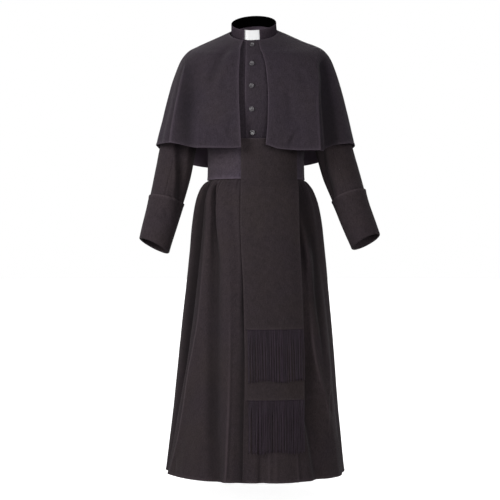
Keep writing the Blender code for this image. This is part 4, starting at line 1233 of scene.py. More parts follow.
@dataclass
class Panel:
    """One cut piece of cloth on its form.

    Attributes:
        name: The piece's name.
        form: What it lies on.
        top: The form's second parameter at its upper edge.
        bottom: The same at its lower edge.
        start: The form's first parameter at one side, for each second one.
        end: The same at the other side.
        edges: How its start, end, top and bottom edges are finished.
        step: How far apart its mesh lines are.
        thickness: The cloth's thickness.
        keep: Values of the second parameter that get a row of their own.
    """

    name: str
    form: Form
    top: float
    bottom: float
    start: Edges
    end: Edges
    edges: tuple[Edge, Edge, Edge, Edge]
    step: float = 0.0034
    thickness: float = CLOTH
    keep: Sequence[float] = ()

    def __post_init__(self) -> None:
        """Works out the two parameters at each crossing of its lines, bottom row first."""
        fine = np.linspace(self.bottom, self.top, FINE_ROWS)
        rungs = self.form.base(*self.rungs(fine, FEW_COLUMNS))
        rise = np.linalg.norm(np.diff(rungs, axis=0), axis=2).max(axis=1)
        height = np.concatenate([[0], np.cumsum(rise)])
        lines = spaced(height[-1:], self.step * ROW_STEP, self.edges[3], self.edges[2])
        rows = np.interp(lines[0], height, fine)
        if len(self.keep):
            clear = np.abs(rows[:, None] - np.array(self.keep)).min(axis=1) > ROW_GAP
            rows = np.sort(np.concatenate([rows[clear], self.keep]))
            rows = rows if self.top > self.bottom else rows[::-1]
        first, second = self.rungs(rows, FINE_COLUMNS)
        length = measured(self.form.base(first, second), 1)
        distance = spaced(length[:, -1], self.step, self.edges[0], self.edges[1])
        self.first = np.array([np.interp(d, s, f) for d, s, f in zip(distance, length, first)])
        self.second = np.repeat(rows[:, None], distance.shape[1], 1)

    def rungs(self, rows: Array, count: int) -> tuple[Array, Array]:
        """Both parameters at evenly spaced places across each row."""
        share = np.linspace(0, 1, count)
        first = self.start(rows)[:, None] * (1 - share) + self.end(rows)[:, None] * share
        return first, np.repeat(rows[:, None], count, 1)

    def cut(self) -> tuple[tuple[float, float], float]:
        """Works out the flat piece.

        Returns:
            Its width and length before it is put on, and its area, all without creases.
        """
        plain = self.form.base(self.first, self.second)
        flat = (float(measured(plain, 1)[:, -1].max()), float(measured(plain, 0)[-1].max()))
        wide = plain[1:, 1:] - plain[:-1, :-1]
        tall = plain[1:, :-1] - plain[:-1, 1:]
        area = float(np.linalg.norm(np.cross(wide, tall), axis=2).sum() / 2)
        return flat, min(area, flat[0] * flat[1])

    def build(self, material: bpy.types.Material) -> bpy.types.Object:
        """Makes the cloth.

        Args:
            material: What it is dressed in.

        Returns:
            The piece, a closed wall with rounded edges.
        """
        plain = self.form.base(self.first, self.second)
        across, up = measured(plain, 1), measured(plain, 0)
        ways = (across, across[:, -1:] - across, up[-1:] - up, up)
        lift = sum(edge_relief(edge, way) for edge, way in zip(self.edges, ways))
        points = self.form.place(self.first, self.second, lift)
        rows, columns = across.shape
        deselect()
        bpy.ops.mesh.primitive_grid_add(x_subdivisions=columns - 1, y_subdivisions=rows - 1)
        item = bpy.context.object
        item.name = item.data.name = self.name
        mesh = item.data
        mesh.vertices.foreach_set("co", points.astype(np.float32).ravel())
        corners = np.empty(len(mesh.loops), int)
        mesh.loops.foreach_get("vertex_index", corners)
        pattern = np.stack([across, up], axis=-1).reshape(-1, 2)[corners]
        mesh.uv_layers[0].data.foreach_set("uv", pattern.astype(np.float32).ravel())
        # Free edges are paler, partly rubbed by use and partly a painted highlight; the form adds painted
        # highlights on crests and painted shade in hollows.
        free = [way for edge, way in zip(self.edges, ways) if edge in (Edge.TURNED, Edge.STITCHED)]
        nearest = np.minimum.reduce(free) if free else np.ones(across.shape)
        painted_light_and_wear = self.form.painted_light_and_wear(self.first, self.second)
        mark(item, "wear_and_painted_light", np.exp(-nearest / EDGE_WEAR_AND_HIGHLIGHT_WIDTH) + painted_light_and_wear)
        mesh.update()
        out = self.form.normals(self.first, self.second).reshape(-1, 3)
        facing = np.empty(out.size, np.float32)
        mesh.vertex_normals.foreach_get("vector", facing)
        if (facing.reshape(-1, 3) * out).sum() < 0:
            edit_faces(item, bpy.ops.mesh.flip_normals)
        thicken(item, self.thickness)
        dress(item, material)
        return item


def constant(value: float) -> Edges:
    """An edge that keeps one value of the first parameter."""
    return lambda second: np.full(np.shape(second), value)


def deselect() -> None:
    """Leaves nothing selected, so that the next operator acts on its own piece alone."""
    bpy.ops.object.select_all(action="DESELECT")


def pick(item: bpy.types.Object) -> None:
    """Makes one object the only one selected, and active."""
    deselect()
    item.select_set(True)
    bpy.context.view_layer.objects.active = item


def mark(item: bpy.types.Object, name: str, values: Array) -> None:
    """Keeps a value for each vertex, for the material to read."""
    attribute = item.data.attributes.new(name, "FLOAT", "POINT")
    attribute.data.foreach_set("value", np.asarray(values, np.float32).ravel())


def edit_faces(item: bpy.types.Object, operator: Callable[..., Any], **settings: Any) -> None:
    """Runs an operator on all of an object's faces."""
    pick(item)
    bpy.ops.object.mode_set(mode="EDIT")
    bpy.ops.mesh.select_all(action="SELECT")
    operator(**settings)
    bpy.ops.object.mode_set(mode="OBJECT")


def apply_modifier(item: bpy.types.Object, kind: str, **settings: Any) -> None:
    """Adds a modifier and applies it.

    Args:
        item: The object.
        kind: The modifier's type.
        settings: Its settings.
    """
    pick(item)
    modifier = item.modifiers.new(kind.lower(), kind)
    for name, value in settings.items():
        setattr(modifier, name, value)
    bpy.ops.object.modifier_apply(modifier=modifier.name)


def round_off(item: bpy.types.Object, width: float, segments: int, degrees: float) -> None:
    """Rounds the edges that turn by more than some degrees."""
    limit = {"limit_method": "ANGLE", "angle_limit": math.radians(degrees)}
    apply_modifier(item, "BEVEL", width=width, segments=segments, **limit)


def thicken(item: bpy.types.Object, thickness: float) -> None:
    """Gives a sheet its thickness, inwards, marks its inner side and rounds its rim."""
    outer = len(item.data.vertices)
    apply_modifier(item, "SOLIDIFY", thickness=thickness, offset=-1.0, use_even_offset=False)
    mark(item, "inside", np.repeat([0.0, 1.0], outer))
    round_off(item, thickness * RIM_ROUNDING, 2, 60)


def dress(item: bpy.types.Object, material: bpy.types.Material) -> None:
    """Puts one material on an object, shades it smooth and lets it ride on the body."""
    item.data.materials.clear()
    item.data.materials.append(material)
    pick(item)
    bpy.ops.object.shade_smooth()
    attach(item, BODY)


def new_object(name: str, points: Array, faces: Sequence[Sequence[int]], pattern: Array) -> bpy.types.Object:
    """Makes an object.

    Args:
        name: Its name.
        points: Its points.
        faces: Its faces, as the numbers of their points.
        pattern: Its UV map, a pair for each corner of each face.

    Returns:
        The object.
    """
    mesh = bpy.data.meshes.new(name)
    mesh.from_pydata(points.reshape(-1, 3).tolist(), [], faces)
    mesh.uv_layers.new(name="UVMap").data.foreach_set("uv", pattern.ravel())
    item = bpy.data.objects.new(name, mesh)
    bpy.context.scene.collection.objects.link(item)
    return item


class Value:
    """A shader socket that Python's operators work on, each adding a Math node."""

    def __init__(self, graph: "Graph", socket: bpy.types.NodeSocket) -> None:
        """Keeps the socket and the graph it belongs to."""
        self.graph, self.socket = graph, socket

    def math(self, operation: str, *terms: "Value | float") -> "Value":
        """Adds one Math node.

        Args:
            operation: The node's operation.
            terms: Its numbers.

        Returns:
            The result.
        """
        return self.graph.node("ShaderNodeMath", {"operation": operation}, dict(enumerate(terms)))

    def __add__(self, other: "Value | float") -> "Value":
        """The sum."""
        return self.math("ADD", self, other)

    def __mul__(self, other: "Value | float") -> "Value":
        """The product."""
        return self.math("MULTIPLY", self, other)

    def __sub__(self, other: "Value | float") -> "Value":
        """The difference."""
        return self.math("SUBTRACT", self, other)

    def __rsub__(self, other: float) -> "Value":
        """The difference, this value taken from a number."""
        return self.math("SUBTRACT", other, self)

    __radd__, __rmul__ = __add__, __mul__

    def wave(self) -> "Value":
        """A sine of the value in turns, from 0 to 1."""
        return self.math("SINE", self * math.tau) * 0.5 + 0.5

    def clamp(self) -> "Value":
        """The value, held between 0 and 1."""
        return self.graph.node("ShaderNodeClamp", {}, {0: self})

    def part(self, number: int) -> "Value":
        """One number of a vector."""
        return self.graph.node("ShaderNodeSeparateXYZ", {}, {0: self}, number)


class Graph:
    """A material's nodes, wired to one Principled shader."""

    def __init__(self, name: str) -> None:
        """Makes the material, with nothing but its shader and output."""
        self.material = bpy.data.materials.new(name)
        self.material.use_nodes = True
        self.tree = self.material.node_tree
        self.shader = self.tree.nodes["Principled BSDF"]

    def node(
        self, kind: str, settings: dict[str, Any], inputs: dict[Any, Any], output: int | str = 0
    ) -> Value:
        """Adds any node.

        Args:
            kind: The node's type.
            settings: Its settings.
            inputs: Values or links of its sockets, by name or number.
            output: Which of its outputs is wanted.

        Returns:
            That output.
        """
        node = self.tree.nodes.new(kind)
        for name, value in settings.items():
            setattr(node, name, value)
        self.wire(node, inputs)
        return Value(self, node.outputs[output])

    def wire(self, node: bpy.types.Node, inputs: dict[Any, Any]) -> None:
        """Sets a node's sockets or links them."""
        for name, value in inputs.items():
            if isinstance(value, Value):
                self.tree.links.new(value.socket, node.inputs[name])
            else:
                node.inputs[name].default_value = value

    def place(self, kind: str) -> Value:
        """Where the shaded point is, on the UV map or in the object's frame."""
        return self.node("ShaderNodeTexCoord", {}, {}, kind)

    def marked(self, name: str) -> Value:
        """A value that the mesh keeps for each vertex."""
        return self.node("ShaderNodeAttribute", {"attribute_name": name}, {}, "Fac")

    def noise(self, place: Value, scale: float, detail: float) -> Value:
        """Noise from 0 to 1 at a place."""
        inputs = {"Vector": place, "Scale": scale, "Detail": detail, "Roughness": 0.6}
        return self.node("ShaderNodeTexNoise", {"noise_dimensions": "3D"}, inputs)

    def mix(self, factor: Value, first: Value | Color, second: Value | Color) -> Value:
        """Mixes two colours, the first at factor 0 and the second at 1."""
        return self.node("ShaderNodeMix", {"data_type": "RGBA"}, {0: factor, 6: first, 7: second}, 2)

    def bump(self, height: Value, strength: float, distance: float) -> Value:
        """A normal from a height."""
        inputs = {"Height": height, "Strength": strength, "Distance": distance}
        return self.node("ShaderNodeBump", {}, inputs)

    def finish(self, **sockets: Any) -> bpy.types.Material:
        """Sets or links the shader's sockets, whose names have underscores here for spaces."""
        self.wire(self.shader, {name.replace("_", " "): value for name, value in sockets.items()})
        return self.material


@dataclass(frozen=True)
class Finish:
    """What something is made of.

    Attributes:
        name: The material's name.
        slot: The record's slot.
        color: Its colour.
    """

    name: str
    slot: str
    color: tuple[float, float, float]

    def shade(self, share: float, warmth: float = 0.0) -> Color:
        """The colour, lighter or darker, and warmer or cooler."""
        red, green, blue = (min(1.0, channel * share) for channel in self.color)
        return red, green, blue * (1 - warmth), 1.0

    def material(self) -> bpy.types.Material:
        """Makes the material."""
        raise NotImplementedError


class Weave(Enum):
    """How a cloth is woven."""

    TWILL = "twill"
    PLAIN = "plain"


@dataclass(frozen=True)
class ClothFinish(Finish):
    """A woven cloth.

    Attributes:
        weave: How it is woven.
        threads: Threads in a metre.
        roughness: Its roughness.
        sheen: How much light its nap catches at a slant.
        inside_painted_light: How light its inner side is painted. 1 is as its outer side, more is painted
            light for light reaching under the cape and into the cuffs, and 0 is painted near black as shade.
        painted_light_and_wear: How pale its free edges are, partly rubbed and partly painted highlight,
            and how strong its painted crest highlights are.
        gloss: How much it shines.
    """

    weave: Weave
    threads: float = 1500.0
    roughness: float = 0.85
    sheen: float = 0.08
    inside_painted_light: float = 1.8
    painted_light_and_wear: float = 0.8
    gloss: float = 0.15

    def woven(self, across: Value, up: Value) -> Value:
        """The weave's relief, from 0 to 1, at a place on the cloth in metres."""
        if self.weave is Weave.TWILL:
            ribs = ((across + up * 0.8) * (self.threads * 0.5)).wave()
            return ribs * (0.6 + 0.4 * (up * self.threads).wave())
        return (across * self.threads).wave() * (up * self.threads * 0.8).wave()

    def material(self) -> bpy.types.Material:
        """Makes the material: weave, slubs, grain, faint unevenness, partly rubbed pale edges, and painted
        highlights and shade.
        """
        graph = Graph(self.name)
        place, solid = graph.place("UV"), graph.place("Object")
        threads = self.woven(place.part(0), place.part(1))
        drawn_out = {"Vector": place, "Scale": (1.0, 0.16, 1.0)}
        slubs = graph.noise(graph.node("ShaderNodeMapping", {}, drawn_out), 420.0, 3.0)
        grain, soft = graph.noise(solid, 300.0, 3.0), graph.noise(solid, 60.0, 3.0)
        broad = graph.noise(solid, 8.0, 2.0)
        tone = threads * 0.25 + slubs * 0.9 + grain * 1.1 + soft * 0.45 + broad * 0.2 - 0.92
        warmth = (broad * 2.4 - 0.7).clamp()
        dark = graph.mix(warmth, self.shade(0.50, -0.05), self.shade(0.50, 0.07))
        light = graph.mix(warmth, self.shade(1.50, -0.05), self.shade(1.50, 0.07))
        color = graph.mix(tone.clamp(), dark, light)
        wear_and_painted_light = graph.marked("wear_and_painted_light")
        # Painted shade: hollows darkened down to a tenth of the colour.
        color = graph.mix((wear_and_painted_light * -HOLLOW_SHADE).clamp(), color, self.shade(0.1))
        wear_and_painted_light = wear_and_painted_light.clamp()
        # Pale free edges, partly rubbed and partly painted highlight, and painted highlights along crests.
        color = graph.mix(wear_and_painted_light * (slubs * 0.6 + 0.4) * self.painted_light_and_wear, color, self.shade(2.5))
        # The inner side is painted: lighter for light under the cape and in the cuffs, near black for shade
        # in the collar.
        color = graph.mix(graph.marked("inside"), color, self.shade(self.inside_painted_light))
        return graph.finish(
            Base_Color=color,
            Metallic=0.0,
            Roughness=self.roughness - wear_and_painted_light * 0.12 + slubs * 0.08,
            Normal=graph.bump(threads * 0.5 + slubs * 0.5 + grain * 0.8, 0.6, 0.0004),
            Sheen_Weight=self.sheen,
            Sheen_Roughness=0.45,
            Sheen_Tint=(0.80, 0.74, 0.79, 1.0),
            Specular_IOR_Level=self.gloss,
        )


@dataclass(frozen=True)
class CordFinish(Finish):
    """A twisted thread or cord, whose UV map runs round it in turns and along it in metres."""

    twists: float = 420.0
    roughness: float = 0.55
    sheen: float = 0.05

    def material(self) -> bpy.types.Material:
        """Makes the material: plies that wind round the cord, each lighter on its crest."""
        graph = Graph(self.name)
        place = graph.place("UV")
        plies = (place.part(0) * 2.0 + place.part(1) * self.twists).wave()
        strands = graph.noise(graph.place("Object"), 300.0, 2.0)
        tone = plies * 0.35 + strands * 0.4 + graph.marked("shade") * 0.6
        return graph.finish(
            Base_Color=graph.mix(tone.clamp(), self.shade(0.15), self.shade(2.2)),
            Metallic=0.0,
            Roughness=self.roughness + strands * 0.15,
            Normal=graph.bump(plies, 0.6, 0.0003),
            Sheen_Weight=self.sheen,
            Sheen_Roughness=0.4,
            Specular_IOR_Level=0.4,
        )


@dataclass(frozen=True)
class PlasticFinish(Finish):
    """Moulded plastic with faint clouding."""

    clouding: float
    roughness: float
    gloss: float = 0.0

    def material(self) -> bpy.types.Material:
        """Makes the material: clouded colour, and a skin that is not quite even."""
        graph = Graph(self.name)
        solid = graph.place("Object")
        clouds = graph.noise(solid, 180.0, 4.0)
        dark, light = self.shade(1 - self.clouding), self.shade(1 + self.clouding)
        return graph.finish(
            Base_Color=graph.mix(clouds, dark, light),
            Metallic=0.0,
            Roughness=self.roughness + clouds * 0.08,
            Normal=graph.bump(graph.noise(solid, 900.0, 2.0), 0.15, 0.0001),
            Coat_Roughness=0.12,
            Coat_Weight=self.gloss,
        )


CLOTH_SLOT, SASH_SLOT = "black_cloth", "sash_cloth"
# Unless set otherwise, a cloth's inner side is painted 1.8 times lighter, for light reaching into the cuffs.
SUITING = ClothFinish("black_suiting", CLOTH_SLOT, (0.0342, 0.0253, 0.0288), Weave.TWILL)
# The cape and bodice are the skirt's suiting, painted a little lighter and more purple for the light the
# upper pieces catch, with the inner side painted 4.5 times lighter for light under the cape.
UPPER_PAINTED_LIGHT_COLOR = (0.0345, 0.0264, 0.0348)
UPPER_CLOTH_PAINTED_LIGHT = ClothFinish("upper_suiting_painted_light", CLOTH_SLOT, UPPER_PAINTED_LIGHT_COLOR, Weave.TWILL, inside_painted_light=4.5)
# The collar's cloth has the upper pieces' painted light outside and its inside painted near black as shade.
COLLAR_CLOTH = ClothFinish(
    "collar_painted_dark_inside", CLOTH_SLOT, UPPER_PAINTED_LIGHT_COLOR, Weave.TWILL, sheen=0.0, inside_painted_light=0.0, gloss=0.02
)
SASH_CLOTH = ClothFinish(
    "black_sash_cloth", SASH_SLOT, (0.0326, 0.0241, 0.0270), Weave.PLAIN, 1900.0, 0.80, painted_light_and_wear=0.3
)
# The band is the sash's own cloth, painted about twice as light and more purple, for the light on it.
BAND_CLOTH_PAINTED_LIGHT = ClothFinish(
    "black_sash_band_painted_light", SASH_SLOT, (0.0560, 0.0432, 0.0568), Weave.PLAIN, 1900.0, 0.80
)
FRINGE_CORD = CordFinish("black_fringe", "fringe_cord", (0.0210, 0.0122, 0.0205))
THREAD = CordFinish("black_thread", CLOTH_SLOT, (0.0300, 0.0260, 0.0280), 900.0, 0.5)
TAB_PLASTIC = PlasticFinish("white_tab", "tab_plastic", (0.86, 0.86, 0.86), 0.01, 0.32)
BUTTON_PLASTIC = PlasticFinish("dark_button", "button_plastic", (0.080, 0.073, 0.080), 0.35, 0.22, 0.4)


@dataclass
class Wardrobe:
    """The finishes, each made once."""

    made: dict[str, bpy.types.Material] = field(default_factory=dict)

    def material(self, finish: Finish) -> bpy.types.Material:
        """The material of a finish."""
        if finish.name not in self.made:
            self.made[finish.name] = finish.material()
        return self.made[finish.name]


@dataclass
class StitchLine:
    """A row of stitches on a form, through points given by the form's two parameters."""

    form: Form
    first: Array
    second: Array
    lift: float = -GROOVE_DEPTH * 0.4
    pitch: float = 0.0031
    length: float = 0.0024
    width: float = 0.0006

    def places(self) -> tuple[Array, Array]:
        """Where each stitch's middle is, and its three half axes, the first along the row."""
        first, second = np.broadcast_arrays(self.first, self.second)
        points = self.form.place(first, second, self.lift)
        run = measured(points, 0)
        spots = np.arange(self.pitch / 2, run[-1], self.pitch)

        def read(values: Array, at: Array) -> Array:
            """Reads a column of vectors along the row."""
            return np.stack([np.interp(at, run, values[:, i]) for i in range(3)], axis=1)

        reach = self.pitch / 3
        ahead = unit(read(points, spots + reach) - read(points, spots - reach))
        side = unit(np.cross(read(self.form.normals(first, second), spots), ahead))
        axes = [ahead * self.length, side * self.width, np.cross(ahead, side) * self.width]
        return read(points, spots), np.stack(axes, axis=1) / 2


@dataclass
class Garment:
    """What every sub-assembly of cloth shares."""

    wardrobe: Wardrobe

    def cloth(
        self,
        panel: Panel,
        finish: Finish,
        held: str | None,
        rests_on: Sequence[str] = (),
        node: str | None = None,
        fringe: "Fringe | None" = None,
    ) -> None:
        """Args:
            panel: The piece.
            finish: What it is made of.
            held: How the cloth is held, or None where it isn't cloth.
            rests_on: What the cloth lies on. Not used.
            node: The solid's name, where it isn't the end of the piece's.
            fringe: What hangs on it.
        """
        item = panel.build(self.wardrobe.material(finish))
        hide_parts(node or panel.name.removeprefix("cloth_"))
        hung = [fringe.build(self.wardrobe.material(FRINGE_CORD))] if fringe else []
        if held:
            flat, area = panel.cut()
            log.info("%s: flat %.3f x %.3f m, %.4f square metres", item.name, *flat, area)

    def sew(self, name: str, lines: Sequence[StitchLine]) -> None:
        """Makes rows of stitches as one piece.

        Args:
            name: The piece's name.
            lines: The rows.
        """
        deselect()
        bpy.ops.mesh.primitive_uv_sphere_add(segments=6, ring_count=4, radius=1.0)
        stitch = bpy.context.object
        corners = np.array([vertex.co for vertex in stitch.data.vertices])
        faces = [tuple(face.vertices) for face in stitch.data.polygons]
        bpy.data.objects.remove(stitch, do_unlink=True)
        middles, axes = map(np.concatenate, zip(*(line.places() for line in lines)))
        points = corners @ axes + middles[:, None]
        shifts = range(0, len(middles) * len(corners), len(corners))
        copies = [[corner + shift for corner in face] for shift in shifts for face in faces]
        flat = np.zeros((sum(map(len, copies)), 2))
        item = new_object(name, points, copies, flat)
        dress(item, self.wardrobe.material(THREAD))
        log.info("%s: %d stitches", name, len(middles))


def armhole_bearing(height: Array) -> Array:
    """How far round from the front the armhole or side seam is at a height."""
    share = np.clip((height - ARMHOLE_MIDDLE) / ARMHOLE_HALF_HEIGHT, -1, 1)
    return SIDE - ARMHOLE_HALF_ANGLE * np.sqrt(1 - share**2)


def armhole_edge(start: float, sign: int) -> Edges:
    """An edge that is an armhole and side seam, counted from a bearing."""
    return lambda height: start + sign * armhole_bearing(height)


def front_edge(rings: Table, across: float) -> Edges:
    """An edge that keeps its distance across the chest from the middle."""
    return lambda height: np.arcsin(across / rings.at(height).front)


@dataclass
class Bodice(Garment):
    """Two fronts that lap at the middle and a back, with the front band's stitching."""

    top: float = 0.0018
    band: float = 0.046  # from the left front's edge to the band's stitches
    band_lift: float = 0.0001  # how far above the cloth those lie
    stitches_end: float = SASH_TOP - 0.010

    def build(self) -> None:
        """Makes the three pieces and the stitches."""
        shared = {"creases": BODICE_CREASES, "unevenness": 0.0007, "seed": 3.0}
        upper, under = RingForm(**shared), RingForm(**shared, tuck=LAYER)
        seam, free, bottom = Edge.SEAM, Edge.TURNED, WAIST_SEAM + GAP / 2
        left, right = front_edge(BODICE, -FRONT_OVERLAP), front_edge(BODICE, FRONT_OVERLAP)
        pieces = (
            ("bodice_front_left", upper, left, armhole_edge(0.0, 1), (free, seam)),
            ("bodice_front_right", under, armhole_edge(0.0, -1), right, (seam, free)),
            ("bodice_back", upper, armhole_edge(BACK, -1), armhole_edge(BACK, 1), (seam, seam)),
        )
        for node, form, start, end, sides in pieces:
            edges = (*sides, seam, Edge.CUT)
            panel = Panel(f"cloth_{node}", form, self.top, bottom, start, end, edges, 0.005)
            self.cloth(panel, UPPER_CLOTH_PAINTED_LIGHT, "hung", ["bodice_back"] if "front" in node else ())
        height = np.linspace(self.top - STITCH_END, self.stitches_end, 300)
        lines = [
            StitchLine(upper, front_edge(BODICE, inset - FRONT_OVERLAP)(height), height, lift)
            for inset, lift in ((self.band, self.band_lift), (FRONT_INSET, TURN_RISE))
        ]
        self.sew("stitches_front_band", lines)


def gathers() -> tuple[Crease, ...]:
    """Small gathers all round below the sash, none alike."""
    chance = np.random.default_rng(11)
    top, beside = SASH_BOTTOM + 0.012, 2.6
    found = []
    for bearing in np.arange(-176.0, 178.0, 6.0):
        place = bearing + chance.uniform(-2.0, 2.0)
        lean = chance.uniform(-2.0, 2.0)
        length = chance.uniform(0.035, 0.105)
        depth = -chance.uniform(0.0012, 0.0026)
        width = chance.uniform(0.0028, 0.0048)
        found.append(Crease(place, top, place + lean, SASH_BOTTOM - length, depth, width))
        if chance.random() < 0.45:
            place += beside
            bottom = SASH_BOTTOM - length * 0.8
            found.append(Crease(place, top, place + lean, bottom, -depth * 0.7, width))
    return tuple(found)


@dataclass
class Skirt(Garment):
    """Four pieces from the waist seam to the hem, gathered below the sash."""

    front_step: float = 0.0032  # between mesh lines
    back_step: float = 0.0054

    def build(self) -> None:
        """Makes the four pieces and the front edge's stitches."""
        shared = {
            "rings": SKIRT,
            "folds": SKIRT_FOLDS,
            "pleats": SKIRT_PLEATS,
            "creases": SKIRT_CREASES + gathers(),
            "unevenness": 0.0012,
            "seed": 5.0,
        }
        upper, under = RingForm(**shared), RingForm(**shared, tuck=LAYER)
        seam, free = Edge.SEAM, Edge.TURNED
        left, right = front_edge(SKIRT, -FRONT_OVERLAP), front_edge(SKIRT, FRONT_OVERLAP)
        past_back, before_back = constant(BACK + SEAM_LAP), constant(BACK - SEAM_LAP)
        pieces = (
            ("skirt_front_left", upper, left, constant(SIDE), (free, seam)),
            ("skirt_front_right", under, constant(-SIDE), right, (seam, free)),
            ("skirt_back_left", upper, constant(SIDE), past_back, (seam, seam)),
            ("skirt_back_right", upper, before_back, constant(3 * SIDE), (seam, seam)),
        )
        top = WAIST_SEAM - GAP / 2
        for node, form, start, end, sides in pieces:
            step = self.front_step if free in sides else self.back_step
            edges = (*sides, Edge.CUT, free)
            panel = Panel(f"cloth_{node}", form, top, HEM, start, end, edges, step)
            self.cloth(panel, SUITING, "gathered")
        height = np.linspace(SASH_BOTTOM - STITCH_END, HEM + STITCH_END, 600)
        edge = front_edge(SKIRT, FRONT_INSET - FRONT_OVERLAP)(height)
        self.sew("stitches_skirt_front", [StitchLine(upper, edge, height, TURN_RISE)])


def cape_edge(side: str) -> Edges:
    """A cape front's free edge."""
    sign = CAPE_SIDES[side]
    return lambda height: sign * np.arctan2(
        getattr(CAPE_EDGES.at(height), side), CAPE.at(height).front
    )


def cape_seam_edge(side: str, start: float = 0.0) -> Edges:
    """A cape piece's edge along a shoulder seam, counted from a bearing."""
    return lambda height: start + CAPE_SIDES[side] * cape_seam(side, height)


@dataclass
class ShoulderCape(Garment):
    """The open cape: two fronts and a back, seamed over the shoulders and edge-stitched."""

    top: float = 0.0035
    front_step: float = 0.0042  # between mesh lines
    back_step: float = 0.0050

    def build(self) -> None:
        """Makes the three pieces and their stitches."""
        form = CapeForm(unevenness=0.0011, seed=9.0)
        stitched, seam = Edge.STITCHED, Edge.SEAM
        left, right = cape_seam_edge("left"), cape_seam_edge("right")
        round_back = cape_seam_edge("right", ROUND)
        pieces = (
            ("cape_front_left", cape_edge("left"), left, self.front_step, (stitched, seam)),
            ("cape_front_right", right, cape_edge("right"), self.front_step, (seam, stitched)),
            ("cape_back", left, round_back, self.back_step, (seam, seam)),
        )
        lines = []
        for node, start, end, step, sides in pieces:
            edges = (*sides, Edge.TURNED, stitched)
            panel = Panel(f"cloth_{node}", form, self.top, CAPE_HEM, start, end, edges, step)
            self.cloth(panel, UPPER_CLOTH_PAINTED_LIGHT, "draped")
            lines += self.edge_stitches(panel)
        self.sew("stitches_cape", lines)

    def edge_stitches(self, panel: Panel) -> list[StitchLine]:
        """Rows of stitches in the grooves along a panel's free side, if it has one, and its hem.

        Args:
            panel: The panel.

        Returns:
            A row along each stitched edge.
        """
        inset = EDGE_SPACING[Edge.STITCHED].index(STITCH_INSET)
        at_start, at_end = (edge is Edge.STITCHED for edge in panel.edges[:2])
        columns = [inset] * at_start + [-1 - inset] * at_end
        places = [(slice(inset, -2), column) for column in columns]
        places.append((inset, slice(inset if at_start else 1, -inset if at_end else -1)))
        return [StitchLine(panel.form, panel.first[place], panel.second[place]) for place in places]


@dataclass
class Sleeves(Garment):
    """Two-piece sleeves, each with its deep turned-back cuff."""

    step: float = 0.0042  # between mesh lines
    short: float = 0.001  # how far above the cuff's lower edge the sleeve ends
    cuff_seam: float = 200  # where the cuff is joined round the wrist, in degrees
    stitch_inset: float = 0.004

    def build(self) -> None:
        """Makes both sleeves and cuffs."""
        edges = (Edge.SEAM, Edge.SEAM, Edge.SEAM, Edge.CUT)
        for side, seed in SLEEVE_SEEDS.items():
            form = SleeveForm(side=side, unevenness=0.0010, seed=seed)
            for piece, start in (("upper", -SIDE), ("under", SIDE)):
                name = f"cloth_sleeve_{side}_{piece}"
                ends = constant(start), constant(start + BACK)
                panel = Panel(name, form, 0.0, form.wrist - self.short, *ends, edges, self.step)
                self.cloth(panel, SUITING, "hung")
            self.build_cuff(side)

    def build_cuff(self, side: str) -> None:
        """Makes one cuff with its stitched upper edge."""
        form = CuffForm(side=side, unevenness=0.0008, seed=21.0)
        start, end = math.radians(self.cuff_seam), math.radians(self.cuff_seam + 360)
        edges = (Edge.SEAM, Edge.SEAM, Edge.TURNED, Edge.CUT)
        top, bottom = form.wrist - CUFF_HEIGHT, form.wrist + form.roll * math.pi + form.facing
        round_edge = [form.wrist + form.roll * angle for angle in np.linspace(0, math.pi, 9)]
        panel = Panel(
            f"cloth_cuff_{side}",
            form,
            top,
            bottom,
            constant(start),
            constant(end),
            edges,
            thickness=CUFF_CLOTH,
            keep=round_edge,
        )
        self.cloth(panel, SUITING, "folded")
        around = np.linspace(start, end, 400)
        line = StitchLine(form, around, top + self.stitch_inset, TURN_RISE)
        self.sew(f"stitches_cuff_{side}", [line])


@dataclass
class Collar(Garment):
    """The stand collar, cut away in front, and the white tab behind its ends."""

    crown: float = 0.0008  # how far it is fuller half way up
    radius: float = 0.070

    def build(self) -> None:
        """Makes the collar, its stitches and the tab."""
        form = CollarForm(unevenness=0.0003, seed=25.0, crown=self.crown)
        low, high = float(COLLAR.keys[0]), float(COLLAR.keys[-1])
        start, end = COLLAR_GAP, ROUND - COLLAR_GAP
        edges = (Edge.TURNED, Edge.TURNED, Edge.TURNED, Edge.SEAM)
        ends = constant(start), constant(end)
        panel = Panel("cloth_collar", form, high, low, *ends, edges, 0.003, STIFF_CLOTH)
        self.cloth(panel, COLLAR_CLOTH, "folded")
        reach = HEM_INSET / self.radius
        around = np.linspace(start + reach, end - reach, 500)
        up = np.linspace(low + HEM_INSET, high - HEM_INSET, 40)
        lines = [StitchLine(form, around, high - HEM_INSET, TURN_RISE)]
        lines += [StitchLine(form, bearing, up, TURN_RISE) for bearing in (around[0], around[-1])]
        self.sew("stitches_collar", lines)
        behind = CollarForm(offset=-STIFF_CLOTH - 3 * GAP)
        ends = constant(-TAB_REACH), constant(TAB_REACH)
        edges = (Edge.CUT,) * 4
        tab = Panel("white_tab", behind, *TAB_HEIGHTS[::-1], *ends, edges, 0.0025, TAB_SHEET)
        self.cloth(tab, TAB_PLASTIC, None, node="collar_tab")


